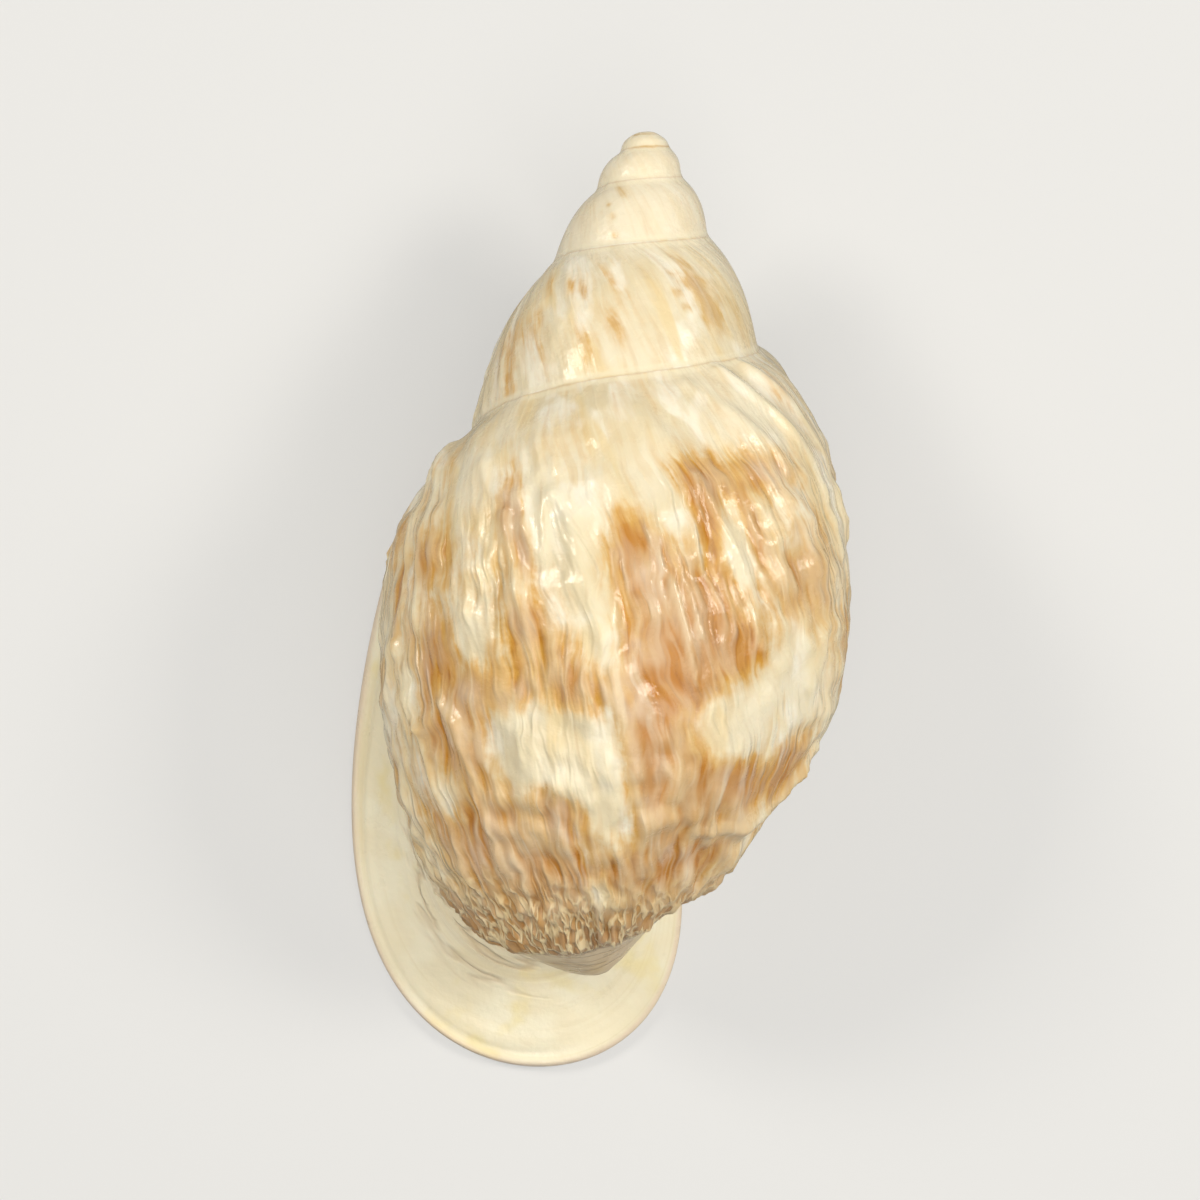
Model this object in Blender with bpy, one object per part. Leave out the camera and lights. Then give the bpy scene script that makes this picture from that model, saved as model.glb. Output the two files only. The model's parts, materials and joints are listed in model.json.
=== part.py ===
"""Land snail shell: one hollow, right-handed coil with a flared lip.

Lengths are in millimetres until the last step, which writes metres.
The shell lies on its opening: lip on Z = 0, spire toward +Y, back toward +Z.
"""
import math

import bmesh
import bpy
import numpy as np

# Coil axis: a point above the apex, leaned in plan and dipped toward the spire.
AXIS_X, AXIS_Y, AXIS_Z = 4.918, 42.274, 18.54
PLAN_LEAN = math.radians(2.8)
SPIRE_DIP = math.radians(-4.0)

# Growth: turn 0 ends on the right side, turn 0.5 where the lip joins the left.
GROWTH = 1.88
FIRST_TURN, LAST_TURN = -4.5, 0.5
SUTURE_RADIUS, SUTURE_DEPTH, SUTURE_SKEW = 9.9, 18.9, 0.045
WHORL_RADIUS, WHORL_DEPTH = 18.5, 42.3
BASE_LENGTH = 25.8
LEVEL_RADIUS, LEVEL_DEPTH, LEVEL_BASE = 0.73, 0.80, 0.57
APEX_WIDTH, APEX_BLUNT = 0.7, 1.75

# Whorl profile: bulge of the spire, shoulder and base of the last whorl.
SPIRE_BULGE, SPIRE_BULGE_HIGH = 0.34, 0.6
CORE_SHARE = 0.40
BASE_POWER, BASE_POWER_GAIN = 1.95, 0.20
BASE_ROOT, BASE_ROOT_DROP = 1.06, 0.59

# Walls and the pillar inside.
WALL = 1.25
CALLUS = 0.35
PILLAR_RADIUS = 2.3
HOLLOW_TURNS = 1.0

# Lip outline: an egg, widest near the base.
LIP_X, LIP_Y = -7.632, -12.526
LIP_HALF_LENGTH, LIP_HALF_WIDTH = 27.9, 13.6
LIP_TAPER, LIP_FULLNESS = -0.40, 0.05
LIP_LEAN, LIP_BOW, LIP_HOOK = -3.4, -0.3, 2.0
LIP_EDGE = 1.5

# Widest flare on the inner side, where the lip lies against the coil.
INNER_FLARE = 3.2
WAIST = 0.16
FLARE_CURVE, FLARE_RISE = 2.2, 1.3

# Mesh steps.
TURN_STEPS = 36
WHORL_ROWS = 6
BASE_ROWS = 11
LIP_STEPS = 56
TUBE_STEPS = 40
FLARE_ROWS = 8


def damped(turn, base, level_off):
    """Size at a turn: steady growth that levels off in the last half turn."""
    late = max(0.0, turn + 0.1)
    return base * math.exp(math.log(GROWTH) * turn - level_off * (late ** 2 - 0.01))


def suture(turn):
    """Radius and depth of the seam between whorls at a turn."""
    late = max(0.0, 2.0 * turn) ** 3
    radius = SUTURE_RADIUS * GROWTH ** turn * (1.0 - 0.03 * late)
    depth = SUTURE_DEPTH * GROWTH ** turn * (1.0 + 0.10 * late)
    depth += SUTURE_SKEW * radius * math.cos(2.0 * math.pi * turn)
    return math.hypot(radius, APEX_WIDTH), math.hypot(depth, APEX_BLUNT)


def whorl_radius(turn, depth):
    """Outer radius of the last whorl's side at one depth down the axis."""
    late = min(1.0, max(0.0, 2.0 * turn))
    widest = damped(turn, WHORL_RADIUS, LEVEL_RADIUS)
    level = damped(turn, WHORL_DEPTH, LEVEL_DEPTH)
    core = CORE_SHARE * widest
    start_radius, start_depth = suture(turn)
    part = min(0.99, (start_radius - core) / (widest - core))
    height = (level - start_depth) / math.sqrt(1.0 - part ** 2)
    if depth <= level:
        rise = min(1.0, (level - depth) / height)
        return core + (widest - core) * math.sqrt(1.0 - rise ** 2)
    fall = (depth - level) / damped(turn, BASE_LENGTH, LEVEL_BASE)
    if fall >= 1.0:
        return 0.0
    power = BASE_POWER + BASE_POWER_GAIN * late
    root = BASE_ROOT - BASE_ROOT_DROP * late
    return widest * (1.0 - fall ** power) ** root


def base_level(turn):
    """Depth where a whorl's base closes on the axis at a turn."""
    low = damped(turn, BASE_LENGTH, LEVEL_BASE)
    return damped(turn, WHORL_DEPTH, LEVEL_DEPTH) + low


def base_tip():
    """Depth where the pillar ends at the foot of the last whorl."""
    return base_level(LAST_TURN)


def pillar_radius(depth):
    """Radius of the solid pillar, rounded off at its foot."""
    left = max(0.0, base_tip() - depth)
    return PILLAR_RADIUS * math.sqrt(min(1.0, left / 2.0))


def even_steps(line, count):
    """Points spaced evenly along a fine polyline."""
    line = np.asarray(line)
    gaps = np.hypot(*np.diff(line, axis=0).T)
    along = np.concatenate([[0.0], np.cumsum(gaps)])
    wanted = np.linspace(0.0, along[-1], count + 1)
    return np.stack([np.interp(wanted, along, line[:, k]) for k in (0, 1)], 1)


def bulged(top, low):
    """Bulging side of a whorl between its upper and lower seam points."""
    chord = np.array(low) - top
    outward = np.array([chord[1], -chord[0]])
    share = np.linspace(0.0, 1.0, WHORL_ROWS + 1)
    bulge = SPIRE_BULGE * share * (1.0 - share)
    bulge *= 1.0 + SPIRE_BULGE_HIGH * (0.5 - share)
    return top + share[:, None] * chord + bulge[:, None] * outward


def spire_column(turn):
    """Side of a spire whorl, from its upper seam to its lower one."""
    return bulged(suture(turn), suture(turn + 1.0))


def body_column(turn):
    """Side of the last whorl, from its seam down to the foot of the pillar."""
    start = suture(turn)[1]
    joint = start * suture(0.5)[1] / suture(-0.5)[1]
    tip = base_tip()
    upper = []
    for depth in np.linspace(start, joint, 80):
        upper.append((whorl_radius(turn, depth), depth))
    lower = []
    for depth in np.linspace(joint, tip, 240):
        side = max(whorl_radius(turn, depth), pillar_radius(depth))
        lower.append((side, depth))
    lower.append((0.0, tip))
    blend = min(1.0, (turn + 0.5) / 0.3)
    blend = blend * blend * (3.0 - 2.0 * blend)
    rows = even_steps(upper, WHORL_ROWS)
    if blend < 1.0:
        plain = bulged(suture(turn), (whorl_radius(turn, joint), joint))
        rows = plain + (rows - plain) * blend
    return np.vstack([rows, even_steps(lower, BASE_ROWS)[1:]])


def to_space(turn, radius, depth):
    """Place a point given by turn, radius and depth about the coil axis."""
    angle = 2.0 * math.pi * turn
    lean, dip = PLAN_LEAN, SPIRE_DIP
    down = np.array([-math.sin(lean) * math.cos(dip),
                     -math.cos(lean) * math.cos(dip), math.sin(dip)])
    right = np.array([math.cos(lean), -math.sin(lean), 0.0])
    back = np.cross(down, right)
    origin = np.array([AXIS_X, AXIS_Y, AXIS_Z])
    around = math.cos(angle) * right + math.sin(angle) * back
    return origin + depth * down + radius * around


def from_space(point):
    """Turn (last whorl), radius and depth of a point about the coil axis."""
    lean, dip = PLAN_LEAN, SPIRE_DIP
    down = np.array([-math.sin(lean) * math.cos(dip),
                     -math.cos(lean) * math.cos(dip), math.sin(dip)])
    right = np.array([math.cos(lean), -math.sin(lean), 0.0])
    back = np.cross(down, right)
    offset = np.asarray(point) - np.array([AXIS_X, AXIS_Y, AXIS_Z])
    across, over = offset @ right, offset @ back
    turn = math.atan2(over, across) / (2.0 * math.pi)
    return turn, math.hypot(across, over), offset @ down


def coil_mesh():
    """Closed mesh of the coil as one ribbon wound from apex to lip."""
    verts, faces = [], []
    count = round((LAST_TURN - FIRST_TURN) * TURN_STEPS)
    body_start = count - TURN_STEPS
    index = {}

    def add(turn, radius, depth):
        verts.append(to_space(turn, radius, depth))
        return len(verts) - 1

    tip = add(0.0, 0.0, base_tip())
    deep = WHORL_ROWS + BASE_ROWS
    for i in range(count, -1, -1):
        turn = FIRST_TURN + i / TURN_STEPS
        column = body_column(turn) if i >= body_start else spire_column(turn)
        for j, (radius, depth) in enumerate(column):
            if j == deep:
                index[i, j] = tip
            elif j == WHORL_ROWS and i <= body_start:
                index[i, j] = index[i + TURN_STEPS, 0]
            else:
                index[i, j] = add(turn, radius, depth)
    for i in range(count):
        rows = deep if i >= body_start else WHORL_ROWS
        for j in range(rows):
            quad = [index[i, j], index[i, j + 1], index[i + 1, j + 1], index[i + 1, j]]
            face = [v for k, v in enumerate(quad) if v != quad[k - 1]]
            faces.append(face)
    loop = [index[count, j] for j in range(deep)] + [tip]
    loop += [index[body_start, j] for j in range(deep - 1, WHORL_ROWS, -1)]
    faces.append(loop[::-1])
    apex = add(0.0, 0.0, suture(FIRST_TURN)[1] - 0.2)
    ring = [index[i, 0] for i in range(TURN_STEPS)]
    ring += [index[0, j] for j in range(WHORL_ROWS, 0, -1)]
    for k, vert in enumerate(ring):
        faces.append([apex, vert, ring[(k + 1) % len(ring)]])
    return verts, faces


def lip_reach(centre, angles):
    """Distance from a plan centre out to the lip outline at given angles."""
    spin = np.linspace(0.0, 2.0 * math.pi, 721)
    along = np.sin(spin)
    taper = 1.0 + LIP_TAPER * along + LIP_FULLNESS * along ** 2
    half = LIP_HALF_WIDTH * np.cos(spin) * taper
    bend = LIP_LEAN * along + LIP_BOW * along ** 2
    bend += LIP_HOOK * np.maximum(0.0, along) ** 8
    x = LIP_X + bend + half - centre[0]
    y = LIP_Y + LIP_HALF_LENGTH * along - centre[1]
    around = np.unwrap(np.arctan2(y, x))
    return np.interp(angles, around, np.hypot(x, y), period=2.0 * math.pi)


def tube_centre(turn):
    """Radius and depth of the middle of the hollow at a turn."""
    level = damped(turn, WHORL_DEPTH, LEVEL_DEPTH)
    base = damped(turn, BASE_LENGTH, LEVEL_BASE)
    return 0.54 * damped(turn, WHORL_RADIUS, LEVEL_RADIUS), level + 0.29 * base


def tube_section(turn):
    """Outline of the hollow at a turn, as radius and depth at even angles."""
    centre = np.array(tube_centre(turn))
    depths = np.linspace(suture(turn)[1], base_level(turn), 160)
    outer = np.array([(whorl_radius(turn, d), d) for d in depths])
    inner = np.array([(whorl_radius(turn - 1.0, d), d) for d in depths])
    pillar = PILLAR_RADIUS * damped(turn, 1.0, LEVEL_RADIUS)
    pillar /= damped(LAST_TURN, 1.0, LEVEL_RADIUS)
    section = []
    reach = np.linspace(0.5, 40.0, 500)
    for k in range(TUBE_STEPS):
        angle = 2.0 * math.pi * k / TUBE_STEPS
        heading = np.array([math.cos(angle), math.sin(angle)])
        points = centre + reach[:, None] * heading
        wall = np.interp(points[:, 1], depths, outer[:, 0], left=0.0, right=0.0)
        core = np.interp(points[:, 1], depths, inner[:, 0])
        gap_out = np.hypot(*(points[:, None, :] - outer[None]).transpose(2, 0, 1)).min(1)
        gap_in = np.hypot(*(points[:, None, :] - inner[None]).transpose(2, 0, 1)).min(1)
        free = (points[:, 0] < wall) & (gap_out > WALL)
        free &= (points[:, 0] > core) & (gap_in > CALLUS) & (points[:, 0] > pillar)
        stop = len(reach) - 1 if free.all() else max(1, int(np.argmin(free)))
        section.append(centre + reach[stop - 1] * heading)
    return np.array(section)


def ringed_mesh(rings):
    """Closed mesh through rings of equal length, capped at both ends."""
    verts = [point for ring in rings for point in ring]
    size = len(rings[0])
    faces = [list(range(size))[::-1]]
    for r in range(len(rings) - 1):
        for k in range(size):
            a, b = r * size + k, r * size + (k + 1) % size
            faces.append([a, b, b + size, a + size])
    last = (len(rings) - 1) * size
    faces.append([last + k for k in range(size)])
    return verts, faces


def flare_mesh():
    """Solid trumpet under the last half turn, ending in the lip."""
    middle = to_space(0.5, *tube_centre(0.5))[:2]
    angles = np.linspace(0.0, 2.0 * math.pi, LIP_STEPS, endpoint=False)
    edge = lip_reach(middle, angles)
    tip = base_tip()
    side = []
    for depth in np.linspace(suture(0.5)[1], tip, 300):
        side.append(to_space(0.5, whorl_radius(0.5, depth), depth)[:2] - middle)
    side = np.array(side)
    around = np.unwrap(np.arctan2(side[:, 1], side[:, 0]))
    if around[0] > around[-1]:
        around, side = around[::-1], side[::-1]
    width = np.hypot(side[:, 0], side[:, 1])
    neck = []
    for angle, reach in zip(angles, edge):
        turned = angle
        while turned < around[0]:
            turned += 2.0 * math.pi
        while turned > around[-1] and turned - 2.0 * math.pi >= around[0]:
            turned -= 2.0 * math.pi
        if turned <= around[-1]:
            neck.append(min(reach - 0.3, np.interp(turned, around, width)))
            continue
        share = (turned - around[-1]) / (2.0 * math.pi + around[0] - around[-1])
        first = lip_reach(middle, around[-1:])[0] - width[-1]
        final = lip_reach(middle, around[:1])[0] - width[0]
        ends = first + (final - first) * share
        inner = INNER_FLARE * math.sin(math.pi * share)
        neck.append(reach - max(0.5, ends * (1.0 - math.sin(math.pi * share)) + inner))
    neck = np.array(neck)

    def ring(reach, height):
        points = []
        for angle, far, up in zip(angles, reach, height):
            x = middle[0] + far * math.cos(angle)
            y = middle[1] + far * math.sin(angle)
            points.append(np.array([x, y, up]))
        return points

    depth_at = AXIS_Y - middle[1] - neck * np.sin(angles)
    plane = AXIS_Z + depth_at * math.tan(SPIRE_DIP)
    rings = [ring(edge - 0.45, 0.0 * edge), ring(edge, 0.0 * edge + 0.5)]
    rings.append(ring(edge - 0.1, 0.0 * edge + 1.1))
    for share in np.linspace(0.0, 1.0, FLARE_ROWS + 1):
        waist = WAIST * (edge - neck) * math.sin(math.pi * share) ** 2
        reach = neck + 0.1 - waist
        reach += (edge - 0.45 - neck) * (1.0 - share) ** FLARE_CURVE
        height = LIP_EDGE + (plane - LIP_EDGE) * share ** FLARE_RISE
        rings.append(ring(reach, height))
    rings.append(ring(neck - 0.5, plane + 1.4))
    rings.append(ring(neck - 2.6, plane + 3.2))
    return ringed_mesh(rings)


def hollow_mesh():
    """Solid filling the opening and the coiled hollow behind it."""
    rings = []
    first = tube_section(0.5)
    centre = np.array(tube_centre(0.5))
    middle = to_space(0.5, *centre)
    entry = np.array([to_space(0.5, *point) for point in first])
    offset = entry - middle
    start = np.hypot(offset[:, 0], offset[:, 1])
    angles = np.arctan2(offset[:, 1], offset[:, 0])
    edge = lip_reach(middle, angles) - 1.2
    for share in np.linspace(0.0, 1.0, FLARE_ROWS + 1):
        ring = []
        for k, angle in enumerate(angles):
            waist = WAIST * (edge[k] - start[k]) * math.sin(math.pi * share) ** 2
            reach = start[k] - waist
            reach += (edge[k] - start[k]) * (1.0 - share) ** FLARE_CURVE
            height = -0.7 + (entry[k, 2] + 0.7) * share ** FLARE_RISE
            x = middle[0] + reach * math.cos(angle)
            y = middle[1] + reach * math.sin(angle)
            ring.append(clear_of_whorl(np.array([x, y, height])))
        rings.append(ring)
    steps = round(HOLLOW_TURNS * TURN_STEPS)
    for i in range(1, steps + 1):
        turn = 0.5 - i / TURN_STEPS
        rings.append([to_space(turn, *point) for point in tube_section(turn)])
    return ringed_mesh(rings)


def clear_of_whorl(point):
    """Keep a point of the opening outside the whorl it lies against."""
    turn, radius, depth = from_space(point)
    if turn > 0.0 or turn < -0.499:
        return point
    least = max(whorl_radius(turn, depth), pillar_radius(depth)) + CALLUS
    if depth < suture(turn)[1] or radius >= least:
        return point
    return to_space(turn, least, depth)


def make_object(name, mesh_data):
    """Blender object from points in millimetres."""
    verts, faces = mesh_data
    mesh = bpy.data.meshes.new(name)
    mesh.from_pydata([tuple(0.001 * v for v in point) for point in verts], [], faces)
    tidy = bmesh.new()
    tidy.from_mesh(mesh)
    bmesh.ops.triangulate(tidy, faces=[f for f in tidy.faces if len(f.verts) > 4])
    bmesh.ops.recalc_face_normals(tidy, faces=tidy.faces)
    tidy.to_mesh(mesh)
    tidy.free()
    made = bpy.data.objects.new(name, mesh)
    bpy.context.scene.collection.objects.link(made)
    return made


def apply_boolean(target, tool, kind):
    """Combine a tool solid into the target and drop the tool."""
    tool.hide_render = True
    tool.display_type = "WIRE"
    step = target.modifiers.new(kind.lower(), "BOOLEAN")
    step.object = tool
    step.operation = kind
    step.solver = "EXACT"
    graph = bpy.context.evaluated_depsgraph_get()
    result = bpy.data.meshes.new_from_object(target.evaluated_get(graph))
    target.modifiers.clear()
    target.data = result
    bpy.data.objects.remove(tool)


def tidy_mesh(target):
    """Merge slivers, triangulate and set soft shading with a crisp lip."""
    mesh = bmesh.new()
    mesh.from_mesh(target.data)
    bmesh.ops.remove_doubles(mesh, verts=mesh.verts, dist=0.00008)
    bmesh.ops.dissolve_degenerate(mesh, edges=mesh.edges, dist=0.00004)
    bmesh.ops.triangulate(mesh, faces=mesh.faces)
    bmesh.ops.recalc_face_normals(mesh, faces=mesh.faces)
    for face in mesh.faces:
        face.smooth = True
    mesh.to_mesh(target.data)
    mesh.free()
    target.data.set_sharp_from_angle(angle=math.radians(38.0))


def shell_material():
    """Cream glazed shell."""
    material = bpy.data.materials.new("shell_cream")
    material.use_nodes = True
    surface = material.node_tree.nodes["Principled BSDF"]
    surface.inputs["Base Color"].default_value = (0.80, 0.70, 0.50, 1.0)
    surface.inputs["Roughness"].default_value = 0.3
    surface.inputs["Metallic"].default_value = 0.0
    return material


def build():
    """Make the shell."""
    for item in list(bpy.data.objects):
        bpy.data.objects.remove(item)
    shell = make_object("shell", coil_mesh())
    apply_boolean(shell, make_object("flare", flare_mesh()), "UNION")
    apply_boolean(shell, make_object("hollow", hollow_mesh()), "DIFFERENCE")
    tidy_mesh(shell)
    shell.data.materials.clear()
    shell.data.materials.append(shell_material())


build()
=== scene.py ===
"""Looks of a land snail shell, on the same coil as its CAD model.

The shell is one piece.  Its coil, flared lip and hollow are made again at a fine
scale, with growth ridges, dents and healed scars in the surface, and a material
of noise nodes that follows the coil.  Lengths are millimetres until the mesh is
written, which is in metres.
"""
import json
import math
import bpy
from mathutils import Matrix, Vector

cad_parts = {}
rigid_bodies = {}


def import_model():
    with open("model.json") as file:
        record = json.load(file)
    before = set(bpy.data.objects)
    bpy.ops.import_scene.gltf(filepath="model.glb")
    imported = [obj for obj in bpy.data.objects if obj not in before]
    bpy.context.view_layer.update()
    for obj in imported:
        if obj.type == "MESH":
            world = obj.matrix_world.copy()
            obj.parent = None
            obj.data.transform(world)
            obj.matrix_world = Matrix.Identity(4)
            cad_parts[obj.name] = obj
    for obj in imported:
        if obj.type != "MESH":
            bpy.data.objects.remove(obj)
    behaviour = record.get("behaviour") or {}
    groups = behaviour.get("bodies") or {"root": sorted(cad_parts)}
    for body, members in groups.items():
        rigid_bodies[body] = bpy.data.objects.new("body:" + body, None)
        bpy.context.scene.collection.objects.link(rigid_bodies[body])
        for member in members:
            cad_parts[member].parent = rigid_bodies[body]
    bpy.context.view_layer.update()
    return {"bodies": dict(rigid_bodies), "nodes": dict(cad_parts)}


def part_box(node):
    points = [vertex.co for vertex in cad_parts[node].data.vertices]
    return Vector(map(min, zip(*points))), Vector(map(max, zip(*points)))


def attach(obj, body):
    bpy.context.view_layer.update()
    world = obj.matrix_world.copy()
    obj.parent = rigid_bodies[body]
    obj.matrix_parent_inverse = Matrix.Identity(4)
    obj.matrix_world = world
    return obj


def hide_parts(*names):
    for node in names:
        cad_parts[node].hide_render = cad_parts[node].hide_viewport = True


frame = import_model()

from types import SimpleNamespace

import bmesh
import bpy
import numpy as np
from mathutils import Vector, kdtree

MM = 0.001

# The coil, as in the CAD model: its axis starts beyond the apex, leans in plan and
# dips toward the lip, and sizes grow by GROWTH in a turn.
AXIS = np.array([4.918, 42.274, 18.54])
PLAN_LEAN, SPIRE_DIP = math.radians(2.8), math.radians(-4.0)
GROWTH = 1.88
FIRST_TURN, LAST_TURN = -4.5, 0.5
SUTURE_RADIUS, SUTURE_DEPTH, SUTURE_SKEW = 9.9, 18.9, 0.045
WHORL_RADIUS, WHORL_DEPTH, BASE_LENGTH = 18.5, 42.3, 25.8
LEVEL_RADIUS, LEVEL_DEPTH, LEVEL_BASE = 0.73, 0.80, 0.57
APEX_WIDTH, APEX_BLUNT = 0.7, 1.75
SPIRE_BULGE, SPIRE_BULGE_HIGH = 0.34, 0.6
CORE_SHARE = 0.40
BASE_POWER, BASE_POWER_GAIN = 1.95, 0.20
BASE_ROOT, BASE_ROOT_DROP = 1.06, 0.59
WALL, CALLUS, PILLAR_RADIUS, HOLLOW_TURNS = 1.25, 0.35, 2.3, 1.0

# The lip, as in the CAD model.
LIP_X, LIP_Y = -7.632, -12.526
LIP_HALF_LENGTH, LIP_HALF_WIDTH = 27.9, 13.6
LIP_TAPER, LIP_FULLNESS = -0.40, 0.05
LIP_LEAN, LIP_BOW, LIP_HOOK = -3.4, -0.3, 2.0
LIP_EDGE, INNER_FLARE, WAIST = 1.5, 3.2, 0.16
FLARE_CURVE, FLARE_RISE = 2.2, 1.3

# The lip's rounded edge, from its sole up: millimetres inward and height.
LIP_ROLL = ((0.45, 0.0), (0.26, 0.04), (0.10, 0.18), (0.02, 0.38),
            (0.0, 0.62), (0.03, 0.88), (0.11, 1.12), (0.22, 1.32))

# The opening is cut from this far inside the lip's edge and below its sole.
MOUTH_INSET, MOUTH_BELOW = 1.2, 0.7

# The middle of the hollow, as shares of the widest radius and of the base's length.
TUBE_OUT, TUBE_DOWN = 0.54, 0.29

# Millimetres that the neck stays inside the lip's edge, on the coil's wall and off it.
LEAST_FLARE, LEAST_INNER_FLARE = 0.3, 0.5

# Shares of the way up the neck between which the lip gives way to the coil's wall.
LIP_TO_WALL = (0.42, 0.75)

# Fine mesh steps. COLUMNS are those of one turn, and they crowd together on the
# back, where the shell is seen. Spire rows double at each turn named.
COLUMNS = 296
CROWDING = 0.42
BODY_ROWS, BASE_ROWS = 80, 96
ROWS_UP_THE_SPIRE = ((-3.6, 5), (-2.6, 10), (-1.5, 20), (-0.62, 40), (9.0, BODY_ROWS))
LIP_COLUMNS, WALL_ROWS, FLARE_ROWS = 240, 64, 34
SECTION, TUBE_COLUMNS, TUBE_RINGS = 44, 132, 42

# The blunt first whorl is a smooth dome: depth of its top and of its widest place.
DOME_TOP, DOME_FOOT, DOME_RADIUS = 2.2, 4.0, 2.1
DOME_TURN = -2.9
APEX_NOTE = 9.0

ROUND = 2.0 * math.pi

# The last whorl's skin in millimetres: one turn round it, and all the way down it.
ABOUT, DOWNWARD = 113.0, 62.0

# Millimetres that stand for no seam in reach.
FAR = 99.0

# Radius of the circle that stands for the lip's rim, and what each turn inside
# adds to the distance from the edge, both in millimetres.
LIP_CIRCLE, INSET_OF_A_TURN = 9.0, 60.0


def smooth(low, high, value):
    """Soft step from 0 at low to 1 at high, which may be the lesser."""
    share = np.clip((value - low) / (high - low), 0.0, 1.0)
    return share * share * (3.0 - 2.0 * share)


def columns(*values):
    """Values side by side, one row for each point; a plain number fills its column."""
    return np.stack(np.broadcast_arrays(*values), -1)


# ---------------------------------------------------------------- noise

def lattice(i, j, k, seed):
    """Repeatable numbers from 0 to 1 on a grid of whole numbers."""
    n = (i * 374761393 + j * 668265263 + k * 1440662683 + seed * 974634777) & 0xFFFFFFFF
    n = ((n ^ (n >> 13)) * 1274126177) & 0xFFFFFFFF
    return (n ^ (n >> 16)) / 4294967296.0


def ripple(x, y, z, seed):
    """Smooth gradient noise, about -1 to 1."""
    corner = [np.floor(c).astype(np.int64) for c in (x, y, z)]
    inside = [c - f for c, f in zip((x, y, z), corner)]
    ease = [f * f * f * (f * (f * 6.0 - 15.0) + 10.0) for f in inside]
    total = 0.0
    for step in range(8):
        bits = (step & 1, step >> 1 & 1, step >> 2)
        place = [c + b for c, b in zip(corner, bits)]
        spin = ROUND * lattice(*place, seed)
        lift = 2.0 * lattice(*place, seed + 57) - 1.0
        flat = np.sqrt(1.0 - lift * lift)
        away = [f - b for f, b in zip(inside, bits)]
        slope = flat * np.cos(spin) * away[0] + flat * np.sin(spin) * away[1]
        slope = slope + lift * away[2]
        weight = 1.0
        for e, b in zip(ease, bits):
            weight = weight * (e if b else 1.0 - e)
        total = total + weight * slope
    return 1.7 * total


def woven(over, down, wide, long, seed):
    """Ripple over a surface, with its features' sizes each way."""
    return ripple(over / wide, down / long, 0.0 * over, seed)


def crest(value, width):
    """Narrow smooth line where a value passes through zero."""
    return np.exp(-(value / width) ** 2)


# ---------------------------------------------------------------- the coil

def damped(turn, base, level_off):
    """Size at a turn: steady growth that levels off in the last half turn."""
    late = np.maximum(0.0, turn + 0.1)
    return base * np.exp(math.log(GROWTH) * turn - level_off * (late ** 2 - 0.01))


def suture(turn):
    """Radius and depth of the seam between whorls at a turn."""
    late = np.maximum(0.0, 2.0 * turn) ** 3
    radius = SUTURE_RADIUS * GROWTH ** turn * (1.0 - 0.03 * late)
    depth = SUTURE_DEPTH * GROWTH ** turn * (1.0 + 0.10 * late)
    depth = depth + SUTURE_SKEW * radius * np.cos(ROUND * turn)
    return np.hypot(radius, APEX_WIDTH), np.hypot(depth, APEX_BLUNT)


def widest_radius(turn):
    """Radius of a whorl where it is widest."""
    return damped(turn, WHORL_RADIUS, LEVEL_RADIUS)


def whorl_level(turn):
    """Depth where a whorl is widest."""
    return damped(turn, WHORL_DEPTH, LEVEL_DEPTH)


def base_length(turn):
    """Depth of a whorl's base below its widest place."""
    return damped(turn, BASE_LENGTH, LEVEL_BASE)


def base_level(turn):
    """Depth where a whorl's base closes on the axis."""
    return whorl_level(turn) + base_length(turn)


def whorl_radius(turn, depth):
    """Outer radius of the last whorl's side at depths down the axis."""
    late = np.clip(2.0 * turn, 0.0, 1.0)
    widest, level = widest_radius(turn), whorl_level(turn)
    core = CORE_SHARE * widest
    start_radius, start_depth = suture(turn)
    part = np.minimum(0.99, (start_radius - core) / (widest - core))
    height = (level - start_depth) / np.sqrt(1.0 - part ** 2)
    rise = np.clip((level - depth) / height, 0.0, 1.0)
    upper = core + (widest - core) * np.sqrt(1.0 - rise ** 2)
    fall = np.clip((depth - level) / base_length(turn), 0.0, 1.0)
    power = BASE_POWER + BASE_POWER_GAIN * late
    lower = widest * (1.0 - fall ** power) ** (BASE_ROOT - BASE_ROOT_DROP * late)
    return np.where(depth <= level, upper, lower)


def pillar_radius(depth):
    """Radius of the solid pillar, rounded off at its foot."""
    left = np.maximum(0.0, base_level(LAST_TURN) - depth)
    return PILLAR_RADIUS * np.sqrt(np.minimum(1.0, left / 2.0))


def reached(line):
    """Distance along a polyline to each of its points."""
    gaps = np.hypot(*np.diff(line, axis=0).T)
    return np.concatenate([[0.0], np.cumsum(gaps)])


def even_steps(line, count):
    """Points spaced evenly along a fine polyline."""
    along = reached(line)
    wanted = np.linspace(0.0, along[-1], count + 1)
    return columns(*(np.interp(wanted, along, part) for part in line.T))


def bulged(top, low, rows):
    """Bulging side of a whorl between its upper and lower seam points."""
    top = np.array(top)
    chord = np.array(low) - top
    outward = np.array([chord[1], -chord[0]])
    share = np.linspace(0.0, 1.0, rows + 1)
    bulge = SPIRE_BULGE * share * (1.0 - share)
    bulge = bulge * (1.0 + SPIRE_BULGE_HIGH * (0.5 - share))
    return top + share[:, None] * chord + bulge[:, None] * outward


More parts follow.
